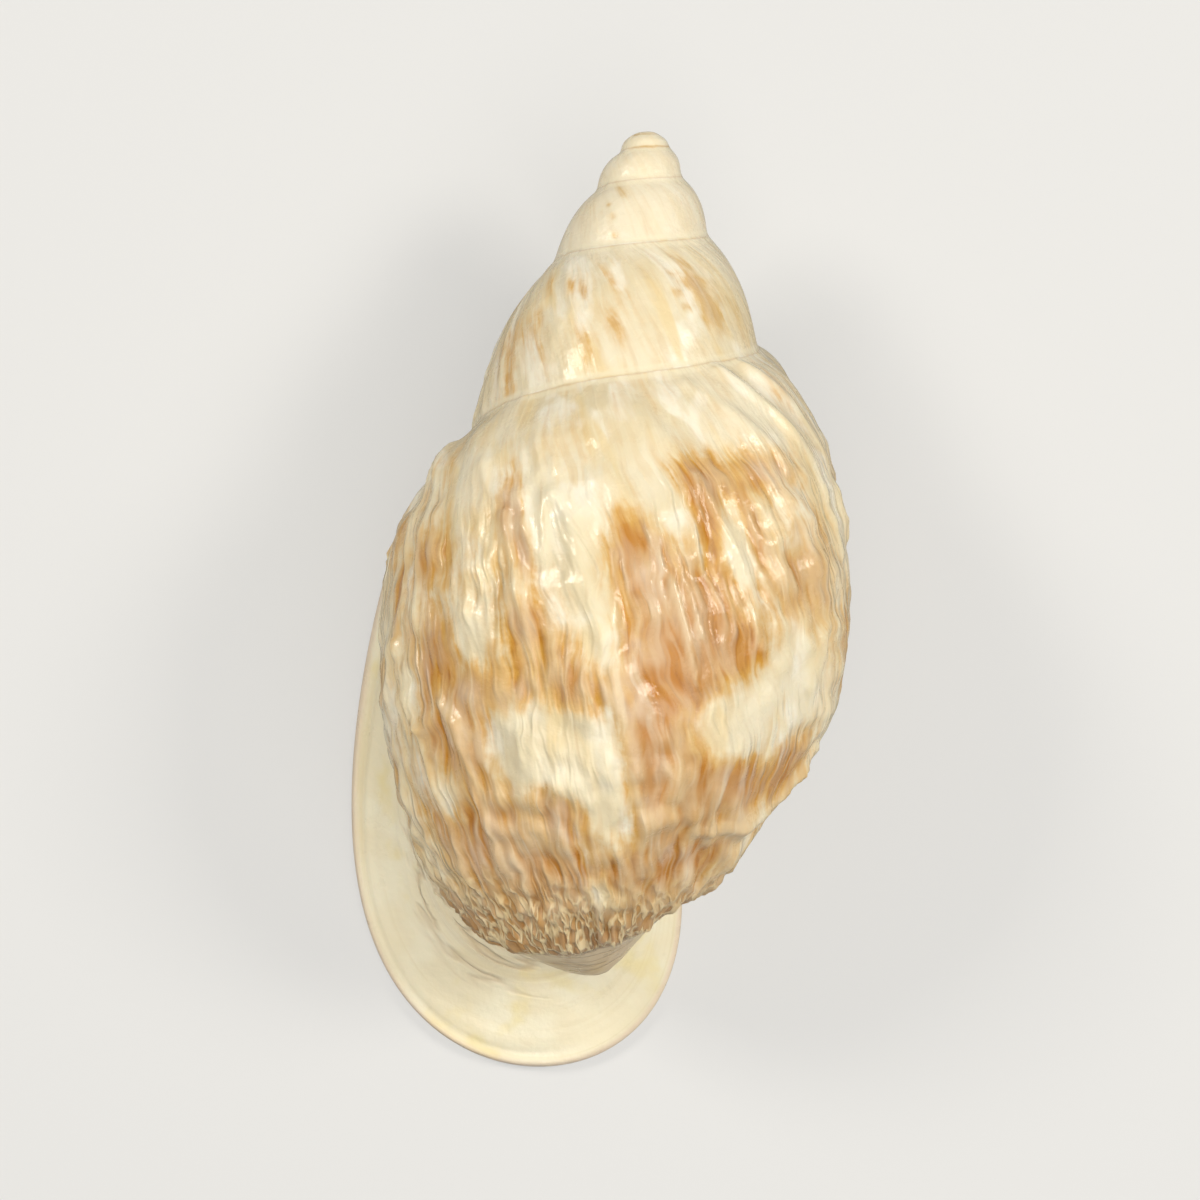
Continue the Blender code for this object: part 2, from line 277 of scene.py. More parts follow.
def body_column(turn):
    """Side of the last whorl, from its seam down to the foot of the pillar."""
    start = suture(turn)[1]
    joint = start * suture(0.5)[1] / suture(-0.5)[1]
    tip = base_level(LAST_TURN)
    depth = np.linspace(start, joint, 200)
    rows = even_steps(columns(whorl_radius(turn, depth), depth), BODY_ROWS)
    plain = bulged(suture(turn), (float(whorl_radius(turn, joint)), joint), BODY_ROWS)
    rows = plain + (rows - plain) * smooth(0.0, 1.0, (turn + 0.5) / 0.3)
    depth = np.linspace(joint, tip, 480)
    side = np.maximum(whorl_radius(turn, depth), pillar_radius(depth))
    lower = np.vstack([columns(side, depth), [[0.0, tip]]])
    return np.vstack([rows, even_steps(lower, BASE_ROWS)[1:]])


# The coil's axes: down it, to its right and to its back.
DOWN = np.array([-math.sin(PLAN_LEAN) * math.cos(SPIRE_DIP),
                 -math.cos(PLAN_LEAN) * math.cos(SPIRE_DIP), math.sin(SPIRE_DIP)])
RIGHT = np.array([math.cos(PLAN_LEAN), -math.sin(PLAN_LEAN), 0.0])
BACK = np.cross(DOWN, RIGHT)


def to_space(turn, radius, depth):
    """Points from turn, radius and depth about the coil axis."""
    turn, radius, depth = np.broadcast_arrays(turn, radius, depth)
    angle = ROUND * turn[..., None]
    around = np.cos(angle) * RIGHT + np.sin(angle) * BACK
    return AXIS + depth[..., None] * DOWN + radius[..., None] * around


def from_space(points):
    """Turn in the last whorl, radius and depth of points."""
    offset = points - AXIS
    across, over = offset @ RIGHT, offset @ BACK
    return np.arctan2(over, across) / ROUND, np.hypot(across, over), offset @ DOWN


def column_turn(i):
    """Turn of a mesh column; one whole turn is always the same number of columns."""
    even = FIRST_TURN + i / COLUMNS
    return even - CROWDING / ROUND * (math.sin(ROUND * (even - 0.25)) - 1.0)


def domed(turn, profile):
    """Swell the first whorl's column into the dome of the apex."""
    rise = np.clip((DOME_FOOT - profile[:, 1]) / (DOME_FOOT - DOME_TOP), 0.0, 1.0)
    dome = DOME_RADIUS * np.sqrt(1.0 - rise ** 2)
    share = np.linspace(0.0, 1.0, len(profile))
    near = smooth(-2.92, -3.12, turn + smooth(0.5, 0.95, share) * (turn < -3.5))
    near = np.where(profile[:, 1] < DOME_FOOT, near, 0.0)
    radius = profile[:, 0] + near * np.maximum(0.0, dome - profile[:, 0])
    top = DOME_FOOT - (DOME_FOOT - DOME_TOP) * np.sqrt(
        1.0 - np.minimum(1.0, radius / DOME_RADIUS) ** 2)
    depth = np.where(turn < -3.0, np.maximum(profile[:, 1], top), profile[:, 1])
    return columns(radius, depth)


def rows_at(turn):
    """Rows of a spire whorl at a turn: each step down the spire doubles them."""
    return next(rows for until, rows in ROWS_UP_THE_SPIRE if turn < until)


class Ribbon:
    """Points, notes and faces of the coil while it is wound."""

    def __init__(self):
        self.points, self.notes, self.faces = [], [], []
        self.count = 0

    def add(self, points, turn, share, along, below):
        """Add points with their notes, and return their numbers."""
        size = len(points)
        self.points.append(points)
        self.notes.append(columns(np.full(size, turn), share, along, below))
        self.count += size
        return list(range(self.count - size, self.count))

    def add_column(self, turn, last, foot):
        """Add the side of a whorl at a turn, which ends on points that exist already."""
        if last:
            profile = body_column(turn)
            share = profile[:, 1] - profile[0, 1]
            share = share / (base_level(LAST_TURN) - profile[0, 1])
        else:
            profile = bulged(suture(turn), suture(turn + 1.0), rows_at(turn))
            if turn < DOME_TURN:
                profile = domed(turn, profile)
            share = np.linspace(0.0, 1.0, len(profile))
        along = reached(profile)
        below = np.full(len(along), FAR) if last else along[-1] - along
        side = to_space(turn, *profile[:-1].T)
        return self.add(side, turn, share[:-1], along[:-1], below[:-1]) + [foot]

    def join(self, left, right):
        """Faces between two columns, of which the right one may have twice the rows."""
        for row in range(len(left) - 1):
            if len(left) == len(right):
                face = [left[row], left[row + 1], right[row + 1], right[row]]
                face = [vert for k, vert in enumerate(face) if vert != face[k - 1]]
            else:
                face = [left[row], left[row + 1], *(right[2 * row + step] for step in (2, 1, 0))]
            self.faces.append(face)

    def cap_apex(self, ring):
        """Rings that close the dome from its rim to the apex."""
        turn, radius, depth = from_space(np.vstack(self.points)[ring])
        high = DOME_FOOT - DOME_TOP
        foot = np.sqrt(1.0 - (radius / DOME_RADIUS) ** 2)
        for part in (0.75, 0.5, 0.25):
            lift = np.sqrt(1.0 - (part * radius / DOME_RADIUS) ** 2)
            height = DOME_FOOT - high * lift + part ** 2 * (depth - DOME_FOOT + high * foot)
            spots = to_space(turn, part * radius, height)
            inner = self.add(spots, FIRST_TURN, 0.0, APEX_NOTE, APEX_NOTE)
            for k in range(len(ring)):
                after = (k + 1) % len(ring)
                self.faces.append([inner[k], ring[k], ring[after], inner[after]])
            ring = inner
        spot = to_space(FIRST_TURN, np.zeros(1), np.full(1, DOME_TOP))
        apex = self.add(spot, FIRST_TURN, 0.0, APEX_NOTE, APEX_NOTE)[0]
        for k, vert in enumerate(ring):
            self.faces.append([apex, vert, ring[(k + 1) % len(ring)]])


def coil_mesh():
    """The coil as one ribbon wound from apex to lip.

    Returns points, faces and, for each point, its turn, its share of the way
    down its whorl, the millimetres from the seam above and to the seam below.
    """
    ribbon = Ribbon()
    count = round((LAST_TURN - FIRST_TURN) * COLUMNS)
    body = count - COLUMNS
    foot = to_space(0.25, np.zeros(1), np.full(1, base_level(LAST_TURN)))
    tip = ribbon.add(foot, 0.25, 1.0, 70.0, FAR)[0]
    index = {}
    for i in range(count, -1, -1):
        last = i >= body
        foot = tip if last else index[i + COLUMNS][0]
        index[i] = ribbon.add_column(column_turn(i), last, foot)
    index[body][BODY_ROWS] = index[count][0]
    for i in range(count):
        right = index[i + 1]
        if i < body and len(right) > BODY_ROWS + 1:
            right = right[:BODY_ROWS + 1]
        ribbon.join(index[i], right)
    end = index[count] + index[body][-2:BODY_ROWS:-1]
    ribbon.faces.append(end[::-1])
    ribbon.cap_apex([index[i][0] for i in range(COLUMNS)] + index[0][:0:-1])
    return np.vstack(ribbon.points), ribbon.faces, np.vstack(ribbon.notes)


# ---------------------------------------------------------------- the lip and the hollow

def lip_reach(centre, angles):
    """Distance from a plan centre out to the lip outline at given angles."""
    spin = np.linspace(0.0, ROUND, 1441)
    along = np.sin(spin)
    taper = 1.0 + LIP_TAPER * along + LIP_FULLNESS * along ** 2
    half = LIP_HALF_WIDTH * np.cos(spin) * taper
    bend = LIP_LEAN * along + LIP_BOW * along ** 2
    bend = bend + LIP_HOOK * np.maximum(0.0, along) ** 8
    x = LIP_X + bend + half - centre[0]
    y = LIP_Y + LIP_HALF_LENGTH * along - centre[1]
    around = np.unwrap(np.arctan2(y, x))
    return np.interp(angles, around, np.hypot(x, y), period=ROUND)


def tube_centre(turn):
    """Radius and depth of the middle of the hollow at a turn."""
    depth = whorl_level(turn) + TUBE_DOWN * base_length(turn)
    return TUBE_OUT * widest_radius(turn), depth


MOUTH = to_space(LAST_TURN, *tube_centre(LAST_TURN))


def tube_section(turn):
    """Outline of the hollow at a turn, as radius and depth at even angles."""
    centre = np.array(tube_centre(turn))
    depths = np.linspace(suture(turn)[1], base_level(turn), 150)
    outer = columns(whorl_radius(turn, depths), depths)
    inner = columns(whorl_radius(turn - 1.0, depths), depths)
    pillar = PILLAR_RADIUS * widest_radius(turn) / widest_radius(LAST_TURN)
    angle = np.linspace(0.0, ROUND, SECTION, endpoint=False)
    heading = columns(np.cos(angle), np.sin(angle))
    reach = np.linspace(0.5, 32.0, 190)
    points = centre + reach[None, :, None] * heading[:, None, :]
    wall = np.interp(points[..., 1], depths, outer[:, 0], left=0.0, right=0.0)
    core = np.interp(points[..., 1], depths, inner[:, 0])
    room = []
    for line, side, thick in ((outer, wall - points[..., 0], WALL),
                              (inner, points[..., 0] - core, CALLUS)):
        gap = np.hypot(*(points[:, :, None, :] - line).transpose(3, 0, 1, 2)).min(2)
        room.append(np.where(side > 0.0, gap, -gap) - thick)
    room.append(points[..., 0] - pillar)
    room = np.minimum(np.minimum(room[0], room[1]), room[2])
    stops = []
    for line in room:
        stop = max(1, int(np.argmax(line <= 0.0)))
        part = np.clip(line[stop - 1] / (line[stop - 1] - line[stop]), 0.0, 1.0)
        stops.append(reach[stop - 1] + part * (reach[stop] - reach[stop - 1]))
    return centre + evened(np.array(stops), 2)[:, None] * heading


def evened(ring, rounds):
    """Numbers round a closed ring, averaged with their neighbours."""
    for _ in range(rounds):
        ring = 0.5 * ring + 0.25 * (np.roll(ring, 1) + np.roll(ring, -1))
    return ring


def refined(ring, count):
    """A closed ring with more points, on a smooth curve through the same ones."""
    size = len(ring)
    place = np.arange(count) * size / count
    corner = np.floor(place).astype(int)
    part = (place - corner)[:, None]
    before, start, end, after = (ring[(corner + step) % size] for step in (-1, 0, 1, 2))
    bend = 2.0 * before - 5.0 * start + 4.0 * end - after
    bend = bend + part * (3.0 * (start - end) + after - before)
    return start + 0.5 * part * (end - before + part * bend)


def ringed_mesh(rings):
    """Points and faces of a closed mesh through rings, capped at both ends."""
    size = len(rings[0])
    faces = [list(range(size))[::-1]]
    for level in range(len(rings) - 1):
        for step in range(size):
            here, beside = level * size + step, level * size + (step + 1) % size
            faces.append([here, beside, beside + size, here + size])
    last = (len(rings) - 1) * size
    faces.append([last + step for step in range(size)])
    return np.vstack(rings), faces


def plan_ring(angles, reach, height):
    """Points round the mouth's middle, by angle and reach in plan."""
    x = MOUTH[0] + reach * np.cos(angles)
    y = MOUTH[1] + reach * np.sin(angles)
    return columns(x, y, height)


def waist(share, inner, outer):
    """How far the flare is drawn in, part of the way up its neck."""
    return WAIST * (outer - inner) * math.sin(math.pi * share) ** 2


def neck_reach(angles, edge):
    """Reach of the neck under the coil, and 1 where it follows the coil's wall."""
    depth = np.linspace(suture(LAST_TURN)[1], base_level(LAST_TURN), 600)
    side = to_space(LAST_TURN, whorl_radius(LAST_TURN, depth), depth)[:, :2] - MOUTH[:2]
    around = np.unwrap(np.arctan2(side[:, 1], side[:, 0]))
    if around[0] > around[-1]:
        around, side = around[::-1], side[::-1]
    width = np.hypot(side[:, 0], side[:, 1])
    first = lip_reach(MOUTH, around[-1:])[0] - width[-1]
    final = lip_reach(MOUTH, around[:1])[0] - width[0]
    turned = angles + ROUND * np.ceil((around[0] - angles) / ROUND)
    walled = turned <= around[-1]
    share = (turned - around[-1]) / (ROUND + around[0] - around[-1])
    arch = np.sin(math.pi * share)
    flared = (first + (final - first) * share) * (1.0 - arch) + INNER_FLARE * arch
    on_wall = np.minimum(edge - LEAST_FLARE, np.interp(turned, around, width))
    neck = np.where(walled, on_wall, edge - np.maximum(LEAST_INNER_FLARE, flared))
    return evened(neck, 3), walled


def flare_mesh():
    """Solid trumpet under the last half turn, ending in the rolled lip.

    Each point's notes are its angle, millimetres in from the edge, the share of
    the way up the neck, and 1 where the neck carries on the whorl's outer wall.
    """
    angles = np.linspace(0.0, ROUND, LIP_COLUMNS, endpoint=False)
    edge = lip_reach(MOUTH, angles)
    neck, walled = neck_reach(angles, edge)
    depth_at = AXIS[1] - MOUTH[1] - neck * np.sin(angles)
    plane = AXIS[2] + depth_at * math.tan(SPIRE_DIP)
    rings, notes = [], []

    def ring(reach, height, share):
        rings.append(plan_ring(angles, reach, height))
        notes.append(columns(angles, edge - reach, share, walled))

    for inset, height in LIP_ROLL:
        ring(edge - inset, height, 0.0)
    top = LIP_ROLL[0][0]
    for share in np.linspace(0.0, 1.0, WALL_ROWS + 1) ** 1.15:
        reach = neck + 0.1 - waist(share, neck, edge)
        reach = reach + (edge - top - neck) * (1.0 - share) ** FLARE_CURVE
        ring(reach, LIP_EDGE + (plane - LIP_EDGE) * share ** FLARE_RISE, share)
    ring(neck - 0.5, plane + 1.4, 1.1)
    ring(neck - 2.6, plane + 3.2, 1.2)
    return (*ringed_mesh(rings), np.vstack(notes))


def wall_notes(points, rise, walled):
    """Coil notes for the flare's outer wall, as if the last whorl went on down it.

    The second result is 1 on the wall and 0 on the flared lip.
    """
    depth = from_space(points)[2]
    profile = body_column(LAST_TURN)
    start, end = profile[0, 1], profile[-1, 1]
    level = np.clip(depth, start, end)
    share = (level - start) / (end - start)
    along = np.interp(level, profile[:, 1], reached(profile))
    drop = AXIS[2] + depth * math.sin(SPIRE_DIP) - points[:, 2]
    turn = LAST_TURN + np.maximum(0.0, drop) / ABOUT
    return columns(turn, share, along, FAR), walled * smooth(*LIP_TO_WALL, rise)


def clear_of_whorl(points):
    """Keep the opening outside the whorl it lies against."""
    turn, radius, depth = from_space(points)
    least = np.maximum(whorl_radius(turn, depth), pillar_radius(depth)) + CALLUS
    inside = (turn <= 0.0) & (turn >= -0.499) & (depth >= suture(turn)[1])
    inside &= radius < least
    return np.where(inside[:, None], to_space(turn, least, depth), points)


def hollow_mesh():
    """Solid filling the opening and the coiled hollow behind it.

    The third result is how many turns behind the mouth each point is.
    """
    entry = refined(to_space(LAST_TURN, *tube_section(LAST_TURN).T), TUBE_COLUMNS)
    offset = entry - MOUTH
    start = np.hypot(offset[:, 0], offset[:, 1])
    angles = np.arctan2(offset[:, 1], offset[:, 0])
    edge = lip_reach(MOUTH, angles) - MOUTH_INSET
    rings, behind = [], [0.0] * (FLARE_ROWS + 1)
    for share in np.linspace(0.0, 1.0, FLARE_ROWS + 1):
        reach = start - waist(share, start, edge)
        reach = reach + (edge - start) * (1.0 - share) ** FLARE_CURVE
        height = -MOUTH_BELOW + (entry[:, 2] + MOUTH_BELOW) * share ** FLARE_RISE
        rings.append(clear_of_whorl(plan_ring(angles, reach, height)))
    for step in range(1, TUBE_RINGS + 1):
        behind.append(HOLLOW_TURNS * step / TUBE_RINGS)
        turn = LAST_TURN - behind[-1]
        rings.append(refined(to_space(turn, *tube_section(turn).T), TUBE_COLUMNS))
    return (*ringed_mesh(rings), np.repeat(behind, TUBE_COLUMNS))


# ---------------------------------------------------------------- relief

def on_last(turn):
    """Whether a turn is on the last whorl, which begins one turn before the lip."""
    return turn > LAST_TURN - 1.0001


def full_grown(turn):
    """0 on the spire, rising to 1 early on the last whorl."""
    return smooth(-0.5, -0.2, turn)


def slant(turn, share):
    """Turns by which a growth line falls back on its way down the whorl."""
    last = 0.05 * share + 0.05 * (1.0 - np.exp(-share / 0.2))
    last = last * (1.0 + 0.6 * smooth(0.30, -0.10, turn))
    top, low = suture(turn)[1], suture(turn + 1.0)[1]
    seamed = share * np.where(on_last(turn), (base_level(LAST_TURN) - top) / (low - top), 1.0)
    seamed = np.minimum(1.0, seamed)
    spire = 0.06 * seamed + 0.05 * (1.0 - np.exp(-seamed / 0.25))
    return spire + (last - spire) * full_grown(turn)


def across(turn, share):
    """Millimetres round the coil from one growth line to another."""
    line = turn + slant(turn, share)
    grown = (GROWTH ** np.minimum(line, 0.0) - 1.0) / math.log(GROWTH)
    return ABOUT * np.where(line > 0.0, line, grown)


# Healed growth scars: points by turn and share down the last whorl, then width
# and height in millimetres.
SCARS = (
    (((0.425, 0.40), (0.413, 0.47), (0.404, 0.53), (0.392, 0.545)), 0.50, 0.40),
    (((0.396, 0.545), (0.388, 0.61), (0.380, 0.70), (0.378, 0.80)), 0.55, 0.38),
    (((0.372, 0.50), (0.360, 0.53), (0.350, 0.63), (0.340, 0.77)), 0.45, 0.30),
    (((0.290, 0.22), (0.272, 0.33), (0.257, 0.45), (0.238, 0.60)), 0.75, 0.30),
    (((0.060, 0.60), (0.100, 0.665), (0.130, 0.695), (0.185, 0.705)), 0.60, 0.50),
    (((0.238, 0.24), (0.222, 0.32), (0.212, 0.40), (0.205, 0.47)), 0.28, 0.30),
    (((0.228, 0.24), (0.214, 0.32), (0.203, 0.40)), 0.25, 0.25),
    (((0.205, 0.16), (0.186, 0.24), (0.170, 0.32), (0.160, 0.42)), 0.45, 0.30),
    (((0.135, 0.20), (0.120, 0.27), (0.108, 0.36), (0.105, 0.44)), 0.45, 0.30),
    (((0.338, 0.20), (0.322, 0.29), (0.310, 0.38), (0.300, 0.50)), 0.35, 0.26),
    (((0.160, 0.01), (0.115, 0.08), (0.078, 0.18), (0.058, 0.30)), 0.75, 0.38),
    (((0.120, 0.01), (0.080, 0.07), (0.045, 0.16), (0.028, 0.28)), 0.70, 0.36),
    (((0.200, 0.02), (0.160, 0.08), (0.125, 0.16)), 0.70, 0.26),
    (((0.470, 0.06), (0.445, 0.16), (0.430, 0.30), (0.424, 0.42)), 0.50, 0.34),
    (((0.450, 0.05), (0.425, 0.14), (0.408, 0.26), (0.400, 0.38)), 0.55, 0.30),
)

# Where the coloured base stops and the white neck of the lip begins.
NECK_TURNS = (-0.5, 0.10, 0.15, 0.18, 0.20, 0.23, 0.26, 0.31, 0.38, 0.5)
NECK_SHARES = (0.80, 0.80, 0.835, 0.86, 0.88, 0.89, 0.905, 0.92, 0.925, 0.93)


def neck_gap(points, turn, share):
    """Rough millimetres past the end of the coloured base."""
    gap = DOWNWARD * (share - np.interp(turn, NECK_TURNS, NECK_SHARES))
    return gap + 0.35 * ripple(*(points / 1.7).T, 35)


def line_gap(turn, share, knots):
    """Rough millimetres from points on the last whorl to a drawn line."""
    spot = columns(ABOUT * turn, DOWNWARD * share)
    knots = np.array(knots) * (ABOUT, DOWNWARD)
    best = np.full(len(spot), FAR)
    for start, end in zip(knots[:-1], knots[1:]):
        stretch = end - start
        part = np.clip((spot - start) @ stretch / (stretch @ stretch), 0.0, 1.0)
        best = np.minimum(best, np.hypot(*(spot - start - part[:, None] * stretch).T))
    return best


def seam_lap(turn, along, below, over):
    """Crimped bead under a seam, and the small step that it stands on."""
    bead = crest(along - 0.42, 0.30) * smooth(0.0, 0.3, along)
    crimp = 0.6 + 0.8 * woven(over, 0.0 * over, 1.3, 1.0, 36)
    lap = 0.16 * bead * crimp + 0.06 * crest(np.minimum(along, below), 0.4)
    return lap * smooth(0.499, 0.47, turn)


def held(points, turn, along, below):
    """1 in the open, falling to 0 on seams, on the last column and near the axis."""
    hold = smooth(0.0, 1.0, along) * smooth(0.0, 0.7, below)
    hold = hold * smooth(0.0, 0.6, ABOUT * np.abs(turn - LAST_TURN))
    clear = smooth(2.0, 5.0, from_space(points)[1])
    return hold * np.where(on_last(turn), clear, 1.0)


def coil_relief(points, notes):
    """How far the coil's surface stands out, its ridges alone, and the white neck."""
    turn, share, along, below = notes.T
    size = np.minimum(1.0, GROWTH ** turn)
    age = 0.05 + 0.95 * smooth(-1.35, -0.25, turn)
    last, grown = on_last(turn), full_grown(turn)
    over = across(turn, share)
    over = over + 0.50 * woven(over, along, 4.2, 8.0, 11)
    over = over + 0.30 * woven(over + 0.6 * along, along - 0.5 * over, 2.6, 3.0, 12)
    patch = np.clip(0.80 + 0.75 * ripple(*(points / (8.0, 10.0, 8.0)).T, 13), 0.15, 1.6)
    low = 0.5 + grown * (smooth(0.02, 0.24, share) - 0.5)
    side = 0.5 + grown * (0.5 + 0.2 * smooth(0.16, 0.05, turn))

    # Cords, folds and dents.
    main, fine = woven(over, along, 3.6, 12.0, 21), woven(over, along, 1.8, 6.5, 22)
    turned = 0.8 * over + 0.6 * along, 0.8 * along - 0.6 * over
    dents, small = woven(*turned, 4.3, 5.4, 24), woven(*turned, 2.0, 2.0, 25)
    ridges = 0.32 * crest(main, 0.30) + 0.30 * crest(fine, 0.36) * (0.3 + 0.7 * patch)
    ridges = ridges * low * patch * (0.85 + 0.5 * small)
    hummocks = smooth(0.0, 0.05, share) * smooth(0.24, 0.14, share) * smooth(0.08, 0.18, turn)
    relief = 0.34 * woven(over, along, 7.0, 24.0, 23) + (0.20 + 0.30 * hummocks) * dents
    relief = relief * side + (0.14 * main + 0.11 * small) * low + ridges

    # The base is grained all over.
    foot = grown * smooth(0.74, 0.86, share)
    grains = 0.30 * crest(woven(over, along, 1.3, 2.5, 31), 0.24)
    grains = foot * (grains + 0.22 * crest(woven(over, along, 2.4, 4.0, 32), 0.26))
    relief = relief * (1.0 - 0.40 * foot) + grains
    ridges = ridges * (1.0 - 0.45 * foot) + grains
    for knots, width, height in SCARS:
        scar = crest(line_gap(turn, share, knots) + 0.2 * small, width)
        scar = height * scar * last * (1.0 + 0.4 * dents)
        relief = relief + scar
        ridges = ridges + scar

    # Past the base the surface drops to the creased neck, more gently on the right.
    past = np.where(last, neck_gap(points, turn, share), -9.0)
    wider = 3.0 * smooth(0.17, 0.06, turn)
    creases = crest(woven(past, over, 0.9, 9.0, 37), 0.30) * smooth(0.2, 1.0, past)
    relief = relief * smooth(1.4 + wider, -0.4, past) + 0.22 * creases
    relief = relief - 0.7 * smooth(-0.8, 2.6 + wider, past)
    ridges = ridges * smooth(1.0 + wider, -0.2, past)

    hold = age * size * held(points, turn, along, below)
    lap = seam_lap(turn, along, below, over) * (0.4 + 0.6 * age) * size
    swollen = 0.88 * smooth(-1.3, -2.2, turn) * smooth(-3.3, -3.0, turn)
    relief = relief * hold + lap + swollen * share * (1.0 - share)
    return relief, ridges * hold, smooth(-0.2, 1.4 + wider, past)


def lip_relief(notes):
    """Rolled rim, the groove inside it, and the lip's growth lines and tucks."""
    angle, inset, share = notes[:, :3].T
    wind = columns(3.0 * np.cos(angle), 3.0 * np.sin(angle)).T
    edge = inset + 0.18 * ripple(*wind, 0.0 * angle, 41)
    rim = 0.10 * crest(edge - 0.55, 0.35) - 0.17 * crest(edge - 1.25, 0.28)
    rim = rim + 0.05 * crest(edge - 1.9, 0.5)
    lines = 0.09 * ripple(edge / 1.7, *(0.6 * wind), 42)
    lines = lines + 0.035 * ripple(edge / 0.7, *(1.1 * wind), 43)
    tucks = 0.18 * crest(ripple(edge / 1.1, *(0.8 * wind), 44), 0.30)
    tucks = tucks * smooth(5.0, 8.0, edge) * smooth(-0.1, -0.7, np.sin(angle))
    relief = rim + lines * smooth(1.2, 2.6, edge) + tucks
    return relief * smooth(0.2, 0.5, inset) * smooth(1.05, 0.95, share)


# ---------------------------------------------------------------- painted markings

# Soft blotches on the last whorl: turn, share down the whorl, half sizes in
# millimetres round and along, and strength; a negative strength is a bare patch.
BLOTCHES = (
    (0.205, 0.165, 2.0, 2.4, 0.75), (0.150, 0.160, 3.6, 2.2, 0.90),
    (0.332, 0.200, 1.2, 3.6, 1.00), (0.318, 0.260, 0.8, 3.2, 0.75),
    (0.395, 0.260, 2.2, 3.4, 0.62), (0.435, 0.310, 0.8, 5.5, 0.80),
    (0.243, 0.270, 1.8, 3.8, 0.80), (0.195, 0.220, 1.1, 4.0, 0.90),
    (0.163, 0.240, 0.8, 3.6, 0.65), (0.228, 0.350, 2.8, 4.6, 0.80),
    (0.192, 0.360, 2.2, 4.0, 0.75), (0.118, 0.330, 3.2, 5.0, 0.62),
    (0.312, 0.370, 1.6, 2.4, 0.70), (0.385, 0.430, 3.4, 5.0, 0.60),
    (0.330, 0.470, 3.4, 3.8, 0.58), (0.282, 0.460, 2.2, 3.6, 0.70),
    (0.215, 0.460, 3.4, 3.6, 0.95), (0.168, 0.420, 2.2, 2.2, 0.65),
    (0.368, 0.560, 3.0, 3.6, 0.65), (0.225, 0.585, 2.4, 7.0, 1.05),
    (0.188, 0.630, 3.2, 3.2, 0.80), (0.145, 0.630, 3.2, 3.2, 0.62),
    (0.290, 0.670, 2.2, 3.0, 0.70), (0.335, 0.700, 3.6, 4.0, 0.60),
    (0.380, 0.740, 3.4, 4.0, 0.68), (0.330, 0.780, 3.6, 3.6, 0.88),
    (0.290, 0.780, 2.4, 3.4, 0.78), (0.245, 0.760, 2.2, 3.0, 0.58),
    (0.205, 0.760, 4.0, 3.6, 0.62), (0.165, 0.730, 2.6, 3.0, 0.46),
    (0.105, 0.600, 2.8, 4.0, 0.50), (0.350, 0.620, 1.6, 3.0, 0.40),
    (0.350, 0.400, 1.5, 2.6, -0.50), (0.302, 0.230, 1.8, 4.0, -0.60),
    (0.268, 0.380, 1.1, 5.0, -0.45), (0.181, 0.270, 1.0, 3.2, -0.80),
    (0.225, 0.200, 0.9, 2.4, -0.50), (0.302, 0.560, 3.2, 3.4, -0.80),
    (0.262, 0.600, 1.5, 5.0, -0.75), (0.165, 0.530, 3.4, 3.2, -0.90),
    (0.130, 0.460, 2.2, 4.0, -0.50), (0.258, 0.800, 1.2, 1.4, -0.50),
    (0.372, 0.660, 1.0, 3.6, -0.45), (0.405, 0.470, 0.8, 2.4, -0.50),
    (0.435, 0.130, 3.0, 4.0, 0.30),
)

# The same on the spire, whose shares run from seam to seam.
FLECKS = (
    (-0.838, 0.47, 0.7, 2.4, 0.85), (-0.850, 0.66, 0.9, 1.6, 0.60),
    (-0.826, 0.38, 1.1, 0.45, 0.70), (-0.800, 0.46, 0.45, 0.4, 0.65),
    (-0.820, 0.20, 0.5, 0.9, 0.40), (-0.812, 0.57, 0.40, 0.4, 0.55),
    (-0.800, 0.30, 0.6, 0.35, 0.45), (-0.868, 0.50, 0.4, 1.0, 0.40),
    (-0.672, 0.36, 0.4, 1.5, 0.45), (-0.650, 0.32, 0.4, 1.3, 0.42),
    (-0.700, 0.28, 0.6, 1.1, 0.38), (-0.690, 0.74, 0.9, 1.6, 0.45),
    (-0.722, 0.62, 0.7, 1.8, 0.42), (-0.612, 0.28, 0.35, 1.1, 0.55),
    (-0.580, 0.72, 0.35, 2.6, 0.65), (-0.598, 0.82, 0.35, 2.2, 0.60),
    (-0.625, 0.62, 0.8, 3.0, 0.36), (-1.668, 0.13, 0.42, 0.75, 0.62),
    (-1.690, 0.26, 0.35, 0.5, 0.42), (-1.660, 0.40, 0.24, 0.24, 0.62),
    (-1.680, 0.58, 0.24, 0.30, 0.62), (-1.690, 0.85, 0.26, 0.28, 0.62),
    (-1.648, 0.52, 0.14, 0.18, 0.40),
)


def blot(turn, share, spot, size):
    """One soft spot of a list, on a whorl of a size round and down, in millimetres."""
    at, down, wide, long, strength = spot
    over = size[0] * (turn + slant(turn, share) - at - slant(at, down)) / wide
    return strength * np.exp(-(over ** 2 + (size[1] * (share - down) / long) ** 2))


